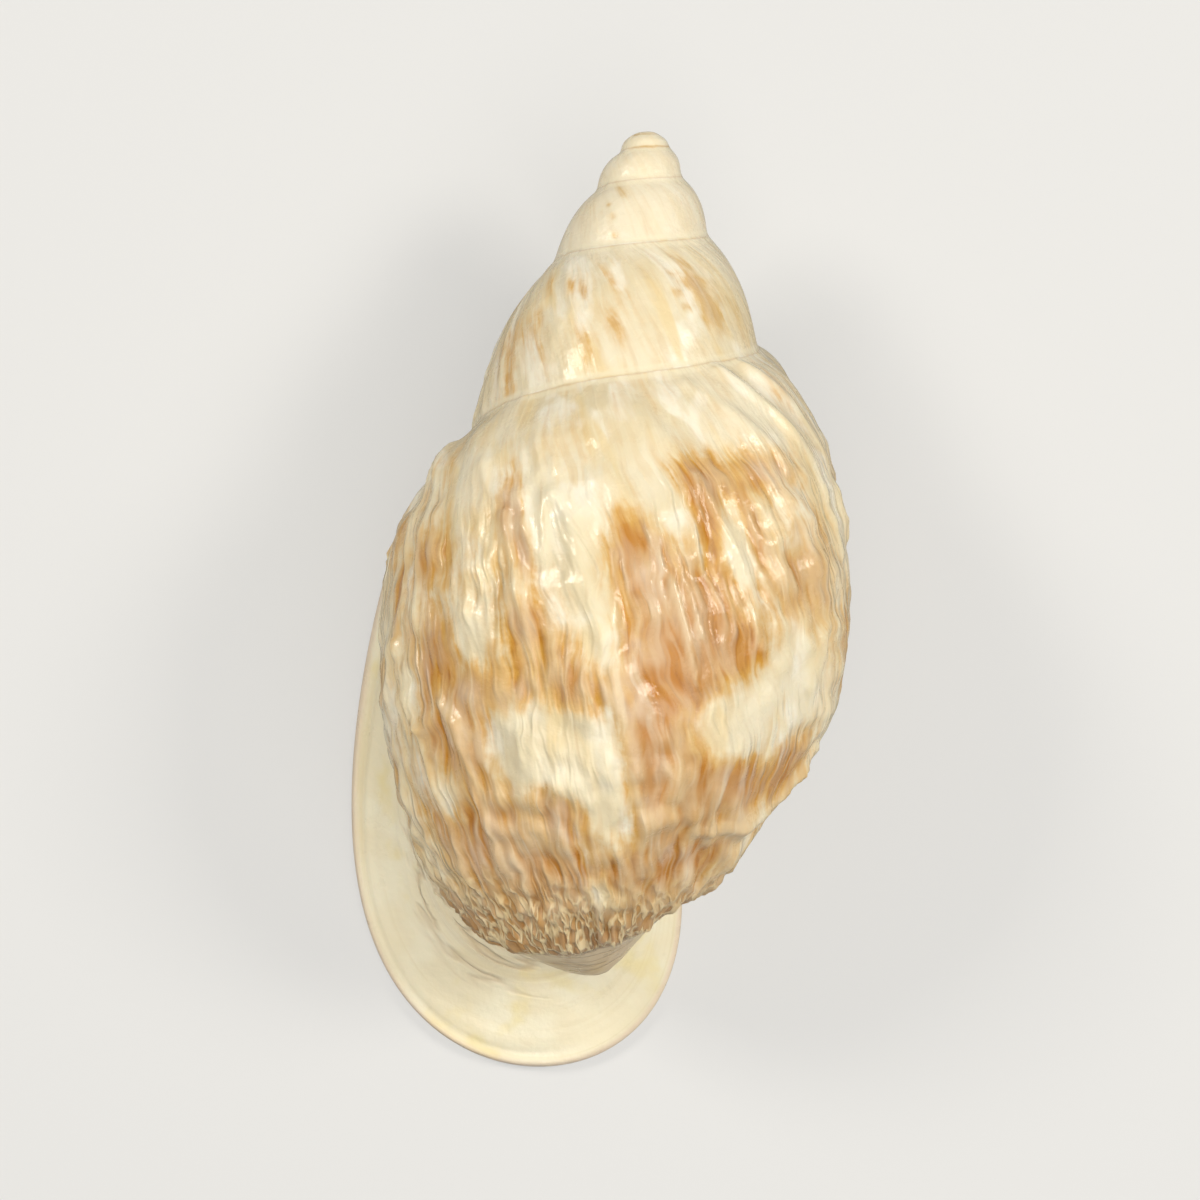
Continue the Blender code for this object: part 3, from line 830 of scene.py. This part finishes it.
def last_paint(points, turn, share, cloud, streak):
    """Markings of the last whorl: placed where the photo shows it, wild elsewhere."""
    band = 0.52 * smooth(0.11, 0.20, share) * smooth(0.30, 0.24, share)
    band = band + 0.62 * smooth(0.26, 0.34, share) * smooth(0.55, 0.48, share)
    band = band + 0.70 * smooth(0.52, 0.62, share)
    wild = band * (0.62 + 0.75 * cloud + 0.45 * streak)
    seen = smooth(0.04, 0.10, turn) * smooth(0.47, 0.43, turn)
    drawn = 0.16 * smooth(0.12, 0.30, share) + 0.12 * cloud + 0.14 * streak
    for spot in BLOTCHES:
        drawn = drawn + 1.15 * blot(turn, share, spot, (ABOUT, DOWNWARD))
    mark = wild + (drawn - wild) * seen
    foot = smooth(0.76, 0.88, share)
    mark = mark + foot * (0.85 + 0.40 * streak - mark) * 0.85
    return mark + 0.45 * crest(neck_gap(points, turn, share) + 1.0, 1.3)


def spire_paint(turn, share, along, below, cloud, streak):
    """Markings of the spire: faint flecks, more on its far side, and a fine ring."""
    far_side = smooth(0.05, 0.18, np.abs((turn + 0.75) % 1.0 - 0.5) - 0.1)
    paint = 0.20 * smooth(-1.5, -0.8, turn) * np.maximum(0.0, cloud + 0.5 * streak)
    paint = paint * (0.35 + 1.6 * far_side)
    ring = crest(np.minimum(along, below), 0.13)
    paint = paint + 0.55 * ring * smooth(-2.55, -2.8, turn) * smooth(-3.95, -3.6, turn)
    for spot in FLECKS:
        upper, lower = suture(spot[0]), suture(spot[0] + 1.0)
        girth = ROUND * 0.5 * (upper[0] + lower[0])
        height = math.hypot(lower[0] - upper[0], lower[1] - upper[1])
        fleck = 0.82 * blot(turn, share, spot, (girth, height))
        paint = paint + np.where(on_last(turn), 0.0, fleck)
    return paint


def coil_paint(points, notes):
    """Strength of the brown markings over the coil, about 0 to 1."""
    turn, share, along, below = notes.T
    over = across(turn, share)
    over = over + 0.5 * woven(over, along, 3.2, 4.0, 51)
    noises = woven(over, along, 8.5, 7.5, 52), woven(over, along, 2.1, 10.0, 53)
    spire = spire_paint(turn, share, along, below, *noises)
    mark = last_paint(points, turn, share, *noises)
    return spire + (mark - spire) * full_grown(turn)


# ---------------------------------------------------------------- meshes

def place_object(name, data, place=(0.0, 0.0, 0.0)):
    """Link a new object into the scene."""
    made = bpy.data.objects.new(name, data)
    made.location = place
    bpy.context.scene.collection.objects.link(made)
    return made


def make_object(name, points, faces):
    """Blender object from points in millimetres, normals outward."""
    mesh = bpy.data.meshes.new(name)
    mesh.from_pydata((points * MM).tolist(), [], faces)
    tidy = bmesh.new()
    tidy.from_mesh(mesh)
    big = [f for f in tidy.faces if len(f.verts) > 4]
    bmesh.ops.triangulate(tidy, faces=big)
    bmesh.ops.recalc_face_normals(tidy, faces=tidy.faces)
    tidy.to_mesh(mesh)
    tidy.free()
    return place_object(name, mesh)


def numbers(items, name, each, kind=float):
    """What Blender keeps under a name for every item, in rows of a length."""
    flat = np.empty(each * len(items), kind)
    items.foreach_get(name, flat)
    return flat.reshape(-1, each)


def read(mesh):
    """Vertex positions of a mesh, in millimetres."""
    return numbers(mesh.vertices, "co", 3) / MM


def write(mesh, points):
    """Put vertices at positions given in millimetres."""
    mesh.vertices.foreach_set("co", (points * MM).ravel())
    mesh.update()


def swell(made, relief):
    """Move each vertex along its normal."""
    mesh = made.data
    points = read(mesh) + numbers(mesh.vertex_normals, "vector", 3) * relief[:, None]
    write(mesh, points)
    return points


def apply_boolean(target, tool, kind):
    """Combine a tool solid into the target and drop the tool."""
    step = target.modifiers.new(kind.lower(), "BOOLEAN")
    step.object = tool
    step.operation = kind
    step.solver = "EXACT"
    graph = bpy.context.evaluated_depsgraph_get()
    result = bpy.data.meshes.new_from_object(target.evaluated_get(graph))
    target.modifiers.clear()
    target.data = result
    bpy.data.objects.remove(tool)


def tree_of(points):
    """Search tree over points."""
    tree = kdtree.KDTree(len(points))
    for k, point in enumerate(points.tolist()):
        tree.insert(point, k)
    tree.balance()
    return tree


def nearest(tree, points):
    """Index of, and distance to, the nearest of a tree's points."""
    found = [tree.find(point)[1:] for point in points.tolist()]
    return np.array([f[0] for f in found]), np.array([f[1] for f in found])


def soften(mesh, points, weight, rounds):
    """Relax vertices toward their neighbours by a weight for each."""
    first, second = numbers(mesh.edges, "vertices", 2, np.int32).T
    size = len(points)
    links = np.bincount(first, minlength=size) + np.bincount(second, minlength=size)
    for _ in range(rounds):
        middle = np.empty_like(points)
        for axis in range(3):
            total = np.bincount(first, points[second, axis], size)
            total = total + np.bincount(second, points[first, axis], size)
            middle[:, axis] = total / links
        points = points + weight[:, None] * (middle - points)
    return points


def lip_place(points):
    """Millimetres in from the lip's edge in plan, and a point of a circle about it."""
    offset = points[:, :2] - MOUTH[:2]
    angle = np.arctan2(offset[:, 1], offset[:, 0])
    inset = lip_reach(MOUTH, angle) - np.hypot(*offset.T)
    return columns(inset, LIP_CIRCLE * np.cos(angle), LIP_CIRCLE * np.sin(angle))


def weld(mesh):
    """Close the doubled points that the Booleans leave, and keep only triangles."""
    clean = bmesh.new()
    clean.from_mesh(mesh)
    bmesh.ops.remove_doubles(clean, verts=clean.verts, dist=0.00001)
    bmesh.ops.dissolve_degenerate(clean, edges=clean.edges, dist=0.000005)
    bmesh.ops.triangulate(clean, faces=clean.faces)
    clean.to_mesh(mesh)
    clean.free()


# A Boolean's new points are more than these millimetres from all the old ones.
MOVED = 0.002


def ease_joins(mesh, points, gap, glaze, seam):
    """Relax the creases where the solids meet, the white neck, and the seams.

    A grown shell has no such creases, and its neck blends broadly into the lip.
    """
    off = nearest(tree_of(points[gap > MOVED]), points)[1]
    points = soften(mesh, points, 0.55 * smooth(1.3, 0.1, off), 10)
    foot = to_space(0.25, 0.0, base_level(LAST_TURN))
    near = smooth(11.0, 4.0, np.hypot(*(points - foot)[:, :2].T))
    on_lip = smooth(1.5, 1.2, glaze) * smooth(0.2, 0.8, glaze)
    weight = 0.6 * near * on_lip * smooth(1.0, 3.0, points[:, 2])
    points = soften(mesh, points, weight, 160)
    points = soften(mesh, points, 0.5 * smooth(0.8, 0.1, seam) * (glaze < 0.5), 8)
    points[:, 2] = np.maximum(points[:, 2], 0.0)
    return points


def corner_coil(mesh, on_coil, coil_notes):
    """Millimetres round the coil, along it and from a seam, by face corner.

    A seam point begins one whorl and ends the whorl above, so it depends on the
    face which of them it is on.
    """
    turn, share, along, below = coil_notes.T
    corners = numbers(mesh.loops, "vertex_index", 1, np.int32).reshape(-1, 3)
    spot = on_coil[corners]
    ends = turn[spot] - turn[spot].min(1)[:, None] > 0.5
    upper = turn[spot] - 1.0
    wide = columns(*suture(upper + 1.0)) - columns(*suture(upper))
    length = 1.03 * np.hypot(wide[..., 0], wide[..., 1])
    over = np.where(ends, across(upper, 1.0), across(turn[spot], share[spot]))
    down = np.where(ends, length, along[spot])
    return columns(over, down, np.minimum(along, below)[spot])


def put_field(mesh, name, values, domain):
    """Keep three numbers for each point or face corner, for the material."""
    layer = mesh.attributes.new(name, "FLOAT_VECTOR", domain)
    layer.data.foreach_set("vector", values.astype(np.float32).ravel())


def build_shell():
    """Make the fine mesh and give it the fields that its material reads.

    The paint field is the markings, the glaze (0 coil, 1 lip, 2 inside) and the
    ridges. The place field is the share down the whorl, its age and the turns
    inside. The lip field is the place on the lip, and the coil field the place
    on the coil.
    """
    coil_points, faces, coil_notes = coil_mesh()
    relief, ridges, neck = coil_relief(coil_points, coil_notes)
    turn, share = coil_notes[:, :2].T
    kind = [columns(coil_paint(coil_points, coil_notes), neck, ridges)]
    place = [columns(share * full_grown(turn), smooth(-1.9, -0.5, turn), 0.0)]
    shell = make_object("shell_surface", coil_points, faces)
    coil_points = swell(shell, relief)

    flare_points, faces, flare_notes = flare_mesh()
    side_notes, wall = wall_notes(flare_points, *flare_notes.T[2:])
    relief, ridges, neck = coil_relief(flare_points, side_notes)
    paint = wall * coil_paint(flare_points, side_notes)
    kind.append(columns(paint, 1.0 - wall * (1.0 - neck), wall * ridges))
    place.append(columns(wall * side_notes[:, 1], 1.0, 0.0))
    flare = make_object("flare", flare_points, faces)
    flare_points = swell(flare, lip_relief(flare_notes) + wall * relief)

    hollow_points, faces, behind = hollow_mesh()
    kind.append(columns(0.0 * behind, 2.0, 0.0))
    place.append(columns(0.0, 1.0, behind))
    hollow = make_object("hollow", hollow_points, faces)

    apply_boolean(shell, flare, "UNION")
    apply_boolean(shell, hollow, "DIFFERENCE")
    mesh = shell.data
    weld(mesh)
    points = read(mesh)
    source = np.vstack([coil_points, flare_points, hollow_points])
    match, gap = nearest(tree_of(source), points)
    kind, place = np.vstack(kind)[match], np.vstack(place)[match]
    on_wall = wall > 0.02
    outer = np.vstack([coil_points, flare_points[on_wall]])
    on_coil = nearest(tree_of(outer), points)[0]
    outer_notes = np.vstack([coil_notes, side_notes[on_wall]])
    seam = outer_notes[:, 2:].min(1)[on_coil]
    points = ease_joins(mesh, points, gap, kind[:, 1], seam)
    write(mesh, points)
    lip = lip_place(points)
    lip[:, 0] += INSET_OF_A_TURN * place[:, 2]
    for name, values in (("paint", kind), ("place", place), ("lip", lip)):
        put_field(mesh, name, values, "POINT")
    put_field(mesh, "coil", corner_coil(mesh, on_coil, outer_notes), "CORNER")
    mesh.polygons.foreach_set("use_smooth", [True] * len(mesh.polygons))
    mesh.update()
    return shell


# ---------------------------------------------------------------- material

def tint(red, green, blue):
    """Linear colour from display values of 0 to 255."""
    made = []
    for value in (red, green, blue):
        value = value / 255.0
        small = value <= 0.04045
        made.append(value / 12.92 if small else ((value + 0.055) / 1.055) ** 2.4)
    return (*made, 1.0)


class Sheet:
    """Short calls that add nodes to a material."""

    def __init__(self, name):
        self.material = bpy.data.materials.new(name)
        self.material.use_nodes = True
        self.tree = self.material.node_tree
        self.surface = self.tree.nodes["Principled BSDF"]

    def node(self, kind, **settings):
        made = self.tree.nodes.new(kind)
        for key, value in settings.items():
            setattr(made, key, value)
        return made

    def put(self, socket, value):
        """Link a socket, or set it where the value is plain."""
        if isinstance(value, bpy.types.NodeSocket):
            self.tree.links.new(value, socket)
        else:
            socket.default_value = value

    def fill(self, made, *values):
        for socket, value in zip(made.inputs, values):
            self.put(socket, value)
        return made.outputs[0]

    def maths(self, kind, *values):
        return self.fill(self.node("ShaderNodeMath", operation=kind), *values)

    def times(self, first, *others):
        for other in others:
            first = self.maths("MULTIPLY", first, other)
        return first

    def more(self, value, factor, base):
        """The value times a factor, on top of a base."""
        return self.maths("MULTIPLY_ADD", value, factor, base)

    def step(self, value, low, high, start=0.0, end=1.0):
        """Soft step of a value between two levels."""
        made = self.node("ShaderNodeMapRange", interpolation_type="SMOOTHSTEP")
        return self.fill(made, value, low, high, start, end)

    def mix(self, share, first, second):
        """Blend two colours, which are sockets or display values of 0 to 255."""
        made = self.node("ShaderNodeMix", data_type="RGBA")
        self.put(made.inputs[0], share)
        for number, value in ((6, first), (7, second)):
            self.put(made.inputs[number], tint(*value) if type(value) is tuple else value)
        return made.outputs[2]

    def coats(self, colour, *coats):
        """A colour under coats, each given as its share and its own colour."""
        for share, coat in coats:
            colour = self.mix(share, colour, coat)
        return colour

    def field(self, name):
        """A field of the mesh, whole and as its three numbers."""
        whole = self.node("ShaderNodeAttribute", attribute_name=name).outputs["Vector"]
        parts = self.node("ShaderNodeSeparateXYZ")
        self.fill(parts, whole)
        return whole, *parts.outputs

    def dress(self, settings):
        """Put values and sockets on the inputs of the surface, by name."""
        for name, value in settings.items():
            self.put(self.surface.inputs[name], value)

    def noise(self, vector, factors, shift=(0.0, 0.0, 0.0), detail=3.0, rough=0.5, warp=0.0):
        """Noise over a vector that is scaled on each axis and shifted."""
        moved = self.node("ShaderNodeVectorMath", operation="MULTIPLY_ADD")
        made = self.node("ShaderNodeTexNoise")
        self.put(made.inputs["Vector"], self.fill(moved, vector, factors, shift))
        settings = {"Scale": 1.0, "Detail": detail, "Roughness": rough, "Distortion": warp}
        for name, value in settings.items():
            made.inputs[name].default_value = value
        return made.outputs["Fac"]

    def woven(self, vector, over, down, layer, *settings):
        """Noise over the coil's skin; each layer is a pattern of its own."""
        return self.noise(vector, (over, down, 0.0), (0.0, 0.0, layer), *settings)

    def crest(self, noise, edge, core=0.0):
        """1 along the line where a noise is at its middle, 0 at the edge's distance."""
        off = self.maths("ABSOLUTE", self.maths("SUBTRACT", noise, 0.5))
        return self.step(off, edge, core)


def cubed(scale):
    """The same scale on all three axes."""
    return (scale, scale, scale)


def shell_fields(add):
    """What the mesh tells each spot, and the cords and clouds that many looks share."""
    at = SimpleNamespace()
    at.coil, _, _, at.seam = add.field("coil")
    _, at.marks, at.glaze, at.ridge = add.field("paint")
    _, at.share, at.age, at.deep = add.field("place")
    at.edge, at.inset, _, at.edge_y = add.field("lip")
    where = add.node("ShaderNodeNewGeometry").outputs["Position"]
    scaled = add.node("ShaderNodeVectorMath", operation="MULTIPLY")
    at.space = add.fill(scaled, where, cubed(1.0 / MM))
    at.cloud = add.noise(at.space, cubed(0.15), detail=2.0)
    at.base = add.step(at.share, 0.74, 0.90)
    at.is_lip = add.step(at.glaze, 0.25, 0.75)
    at.below = add.step(at.share, 0.03, 0.24, 0.15, 1.0)

    # Cords are crests of noises drawn out along slightly bent growth lines.
    warp = add.woven(at.coil, 0.15, 0.11, 61.0, 1.0)
    sway = add.woven(at.coil, 0.42, 0.30, 63.0, 1.0)
    shove = add.node("ShaderNodeCombineXYZ")
    add.fill(shove, add.more(warp, 1.8, add.times(sway, 1.1)))
    bent = add.node("ShaderNodeVectorMath", operation="ADD")
    at.bent = add.fill(bent, at.coil, shove.outputs[0])
    at.first = add.crest(add.woven(at.bent, 0.72, 0.10, 71.0, 1.0, 0.4), 0.14)
    at.second = add.crest(add.woven(at.bent, 1.30, 0.18, 81.0, 1.0, 0.4), 0.17)
    at.wrinkle = add.crest(add.woven(at.bent, 0.95, 0.34, 91.0, 2.0), 0.085, 0.015)
    return at


def ground_colour(add, at):
    """Cream with whiter blotches and a yellower stain, and whiter on the spire."""
    blotch = add.woven(at.coil, 0.26, 0.17, 3.0, 3.0, 0.45, 0.5)
    stain = add.woven(at.coil, 0.40, 0.11, 9.0, 3.0, 0.5, 0.4)
    return add.coats(add.mix(add.step(at.cloud, 0.38, 0.62), (232, 218, 184), (241, 231, 204)),
                     (add.step(blotch, 0.50, 0.63, 0.0, 0.95), (249, 243, 224)),
                     (add.step(stain, 0.50, 0.68, 0.0, 0.7), (237, 215, 165)),
                     (add.step(at.age, 0.9, 0.1, 0.0, 0.7), (246, 236, 211)))


def brown_flames(add, at):
    """How brown each spot is, and which brown.

    The painted strength is broken up into streaks and grains, and is worn off
    on ridges and cords.
    """
    streak = add.woven(at.bent, 1.0, 0.17, 17.0, 4.0, 0.55, 0.4)
    thread = add.woven(at.bent, 2.2, 0.32, 23.0, 3.0, 0.55, 0.3)
    grain = add.noise(at.space, cubed(0.9), rough=0.55)
    ragged = add.more(streak, 1.5, -0.75)
    for noise, amount in ((thread, 0.6), (grain, 0.7)):
        ragged = add.maths("ADD", ragged, add.more(noise, amount, -0.5 * amount))
    broken = add.times(add.step(at.marks, 0.02, 0.36, 0.30, 1.0),
                       add.step(at.age, 0.0, 0.9, 0.5, 1.0))
    flame = add.more(ragged, broken, at.marks)
    brown = add.times(add.step(flame, -0.08, 0.60), add.step(at.ridge, 0.10, 0.50, 1.0, 0.68),
                      add.step(at.age, 0.75, 1.0, 0.74, 1.0), add.step(at.first, 0.0, 1.0, 1.0, 0.76),
                      add.step(at.second, 0.0, 1.0, 1.0, 0.82))
    full = add.step(flame, 0.30, 1.10)
    dark = add.times(full, add.step(thread, 0.50, 0.68), 0.55)
    return brown, add.coats(add.mix(full, (216, 164, 72), (190, 124, 36)),
                            (dark, (158, 97, 30)),
                            (add.step(at.age, 1.0, 0.78, 0.0, 0.8), (212, 174, 98)),
                            (add.times(at.base, 0.7), (190, 143, 78)))


def coil_colour(add, at):
    """Ground and flames, then what the relief and the growth lines add to them, with painted shade in
    the grooves and along the seams.
    """
    brown, hue = brown_flames(add, at)
    # Painted shade: a warm tan in the grooves between ridges and cords, where the relief is low.
    furrow_shade = add.times(add.step(at.ridge, 0.10, 0.0), add.step(at.first, 0.5, 0.0), at.below, 0.45)
    crown = add.times(add.step(at.ridge, 0.10, 0.50), add.step(at.marks, 0.2, 0.8, 0.45, 0.22))

    # The base is dark between cream wrinkles, except where it is bare.
    gritty = add.mix(at.wrinkle, (172, 116, 46), (244, 226, 180))
    gritty = add.mix(add.step(at.marks, 0.20, 0.75, 0.55, 0.0), gritty, (240, 222, 178))

    # Growth lines tint the surface a little, and the seams are painted darker, as shade in their
    # crease, under a pale welt.
    lines = add.woven(at.bent, 1.5, 0.14, 31.0, 2.0)
    welt = add.times(add.step(at.seam, 0.10, 0.25), add.step(at.seam, 0.85, 0.45), 0.55)
    return add.coats(ground_colour(add, at), (brown, hue),
                     (furrow_shade, (216, 176, 104)),
                     (crown, add.mix(brown, (246, 234, 200), (230, 186, 108))),
                     (add.times(at.base, 0.62), gritty),
                     (add.step(lines, 0.54, 0.74, 0.0, 0.22), (210, 176, 126)),
                     (add.step(lines, 0.28, 0.44, 0.22, 0.0), (250, 242, 214)),
                     (add.step(at.seam, 0.0, 0.10, 0.3, 0.0), (196, 158, 116)),
                     (welt, (247, 237, 208)))


def lip_colour(add, at):
    """Cream porcelain with a pinkish edge, the creased neck with painted shade on its slope and in
    its creases, and the warmer inside.

    The second result is how much a crease round the neck shows; it sinks the crease and paints shade
    into it.
    """
    bands = add.noise(at.edge, (0.9, 0.07, 0.07), (0.0, 0.0, 41.0), 3.0, 0.55, 0.3)
    stained = add.noise(at.space, cubed(0.20), (7.0, 3.0, 1.0))
    neck = add.noise(at.edge, (2.2, 0.10, 0.10), (0.0, 0.0, 47.0), 3.0, 0.6, 0.3)
    # Painted shade: the neck next to the coil is a greyer tan, as shade on its steep slope, broken
    # into growth bands.
    near = add.times(add.step(at.inset, 5.5, 9.5), add.step(neck, 0.40, 0.70, 0.10, 0.34),
                     add.step(at.edge_y, -4.0, -8.0, 0.12, 1.0))
    crease = add.crest(add.noise(at.space, (0.11, 0.11, 0.85), (3.0, 8.0, 5.0), 2.0), 0.07)
    round_neck = add.times(add.step(at.inset, 5.0, 8.5), add.step(at.edge_y, -3.0, -7.0))
    soiled = add.step(at.marks, 0.05, 0.60, 0.0, 0.50)
    creases_and_their_shade = add.times(crease, add.maths("MAXIMUM", round_neck, soiled))
    inside = add.mix(add.step(at.deep, 0.02, 0.35), (243, 233, 208), (238, 214, 182))
    lip = add.coats(add.mix(add.step(at.cloud, 0.40, 0.60), (243, 233, 203), (247, 240, 214)),
                    (add.step(bands, 0.48, 0.70, 0.0, 0.5), (226, 212, 172)),
                    (add.step(stained, 0.54, 0.72, 0.0, 0.55), (240, 223, 158)),
                    (add.step(at.inset, 0.95, 0.15, 0.0, 0.65), (236, 212, 190)),
                    (near, (208, 187, 154)), (soiled, (206, 168, 118)),
                    # painted shade in the creases round the neck
                    (add.times(creases_and_their_shade, 0.34), (184, 148, 104)),
                    (add.step(at.glaze, 1.2, 1.8), inside))
    return lip, creases_and_their_shade


def gloss(add, at):
    """Roughness: a glazed surface, duller on the base, the lip and where it is worn."""
    dull = add.noise(at.space, cubed(0.45), (2.0, 5.0, 8.0), 4.0, 0.6)
    on_base = add.times(at.base, add.step(at.glaze, 0.5, 0.1), 0.15)
    rough = add.maths("ADD", add.step(dull, 0.35, 0.70, 0.19, 0.36), on_base)
    return add.more(at.is_lip, 0.08, rough)


def fine_height(add, at, creases_and_their_shade):
    """Relief that the mesh is too coarse for, in millimetres."""
    uneven = add.noise(at.space, cubed(0.13), (6.0, 1.0, 2.0), 1.0)
    cords = add.times(add.more(at.second, 0.055, add.times(at.first, 0.10)), at.below,
                      add.step(uneven, 0.38, 0.62, 0.25, 1.0))
    etch = add.woven(at.bent, 1.1, 0.15, 51.0, 2.0, 0.45, 0.3)
    height = add.more(add.times(at.wrinkle, at.base), 0.12, add.more(etch, 0.06, cords))
    height = add.times(height, add.step(at.glaze, 0.2, 0.9, 1.0, 0.0),
                       add.step(at.age, 0.0, 1.0, 0.12, 1.0))
    height = add.more(add.times(creases_and_their_shade, at.is_lip), -0.14, height)
    return add.more(add.noise(at.space, cubed(0.8), cubed(4.0), 4.0), 0.12, height)


# Settings of the shell's surface that are the same all over it.
SHELL_SURFACE = {"Specular IOR Level": 0.31, "IOR": 1.5,
                 "Coat Weight": 0.18, "Coat Roughness": 0.09,
                 "Subsurface Weight": 0.08, "Subsurface Radius": (0.8, 0.6, 0.4),
                 "Subsurface Scale": 0.0012}


def shell_material():
    """Cream glazed shell with brown flames that follow its growth lines."""
    add = Sheet("shell_glaze")
    at = shell_fields(add)
    lip, creases_and_their_shade = lip_colour(add, at)
    bump = add.node("ShaderNodeBump")
    bump.inputs["Distance"].default_value = MM
    add.put(bump.inputs["Height"], fine_height(add, at, creases_and_their_shade))
    add.dress({"Base Color": add.mix(at.is_lip, coil_colour(add, at), lip),
               "Roughness": gloss(add, at), "Normal": bump.outputs[0]})
    add.dress(SHELL_SURFACE)
    return add.material


# ---------------------------------------------------------------- stage

# Light that the floor adds where the camera looks straight at it, near the shell
# and far from it, which keeps it pale out to where the lamps don't reach.
FLOOR_GLOW_NEAR, FLOOR_GLOW_FAR = 0.40, 0.74
GLOW_STARTS, GLOW_FULL = 0.15, 1.1
FLOOR_HALF = 3.0

# Name, place from the middle of the shell's sole, side and power of each lamp.
LAMPS = (("key_left", (-0.33, 0.20, 0.36), 0.14, 1.18, (1.0, 0.95, 0.85)),
         ("key_right", (0.35, 0.10, 0.37), 0.14, 1.18, (1.0, 0.95, 0.85)),
         ("overhead", (0.12, -0.19, 0.60), 0.55, 1.80, (1.0, 0.97, 0.91)))
LAMP_AIM = Vector((0.0, 0.0, 0.015))

# The background's strength as a lamp and as the camera sees it.
WORLD_LIGHT, WORLD_SEEN = 0.20, 0.85

# The camera hangs over the shell and looks straight down, as the photo's did.
CAMERA_PLACE = Vector((0.000918, 0.001474, 0.215))
CAMERA_LENS, CAMERA_SENSOR = 71.6, 36.0


def floor_material():
    """Plain pale matt floor."""
    add = Sheet("floor_pale")
    away = add.node("ShaderNodeVectorMath", operation="LENGTH")
    add.fill(away, add.node("ShaderNodeNewGeometry").outputs["Position"])
    glow = add.step(away.outputs["Value"], GLOW_STARTS, GLOW_FULL, FLOOR_GLOW_NEAR, FLOOR_GLOW_FAR)
    seen = add.node("ShaderNodeLightPath").outputs["Is Camera Ray"]
    add.dress({"Base Color": (0.38, 0.38, 0.377, 1.0), "Roughness": 0.8,
               "Specular IOR Level": 0.2, "Emission Color": (1.0, 1.0, 0.99, 1.0),
               "Emission Strength": add.times(seen, glow)})
    return add.material


def build_floor(level):
    """Square floor under the shell."""
    mesh = bpy.data.meshes.new("floor")
    corners = [(x * FLOOR_HALF, y * FLOOR_HALF, level)
               for x, y in ((-1, -1), (1, -1), (1, 1), (-1, 1))]
    mesh.from_pydata(corners, [], [(0, 1, 2, 3)])
    mesh.materials.append(floor_material())
    place_object("floor", mesh)


def build_lamps(sole):
    """Soft square lamps that point at the shell."""
    for name, place, side, power, colour in LAMPS:
        lamp = bpy.data.lights.new(name, "AREA")
        lamp.shape = "SQUARE"
        lamp.size, lamp.energy, lamp.color = side, power, colour
        made = place_object(name, lamp, sole + Vector(place))
        made.rotation_mode = "QUATERNION"
        made.rotation_quaternion = (LAMP_AIM - Vector(place)).to_track_quat("-Z", "Y")


def build_world():
    """White surround that the camera sees brighter than it lights."""
    world = bpy.data.worlds.new("studio")
    bpy.context.scene.world = world
    world.use_nodes = True
    nodes, links = world.node_tree.nodes, world.node_tree.links
    nodes["Background"].inputs["Color"].default_value = (1.0, 1.0, 1.0, 1.0)
    seen = nodes.new("ShaderNodeMapRange")
    seen.inputs["To Min"].default_value = WORLD_LIGHT
    seen.inputs["To Max"].default_value = WORLD_SEEN
    path = nodes.new("ShaderNodeLightPath")
    links.new(path.outputs["Is Camera Ray"], seen.inputs["Value"])
    links.new(seen.outputs[0], nodes["Background"].inputs["Strength"])


def build_camera(sole):
    """Camera at the photograph's angle."""
    lens = bpy.data.cameras.new("camera")
    lens.sensor_width, lens.lens = CAMERA_SENSOR, CAMERA_LENS
    lens.clip_start, lens.clip_end = 0.01, 20.0
    bpy.context.scene.camera = place_object("camera", lens, sole + CAMERA_PLACE)


def build_stage():
    """Floor, lamps, background and camera."""
    low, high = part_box("shell")
    sole = Vector(((low.x + high.x) / 2.0, (low.y + high.y) / 2.0, low.z))
    build_floor(low.z)
    build_lamps(sole)
    build_world()
    build_camera(sole)
    bpy.context.scene.view_settings.view_transform = "Standard"


def main():
    """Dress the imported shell."""
    keep = set(frame["nodes"].values()) | set(frame["bodies"].values())
    for item in list(bpy.data.objects):
        if item not in keep:
            bpy.data.objects.remove(item)
    shell = build_shell()
    shell.data.materials.clear()
    shell.data.materials.append(shell_material())
    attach(shell, "root")
    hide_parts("shell")
    build_stage()
    bpy.context.view_layer.update()


main()
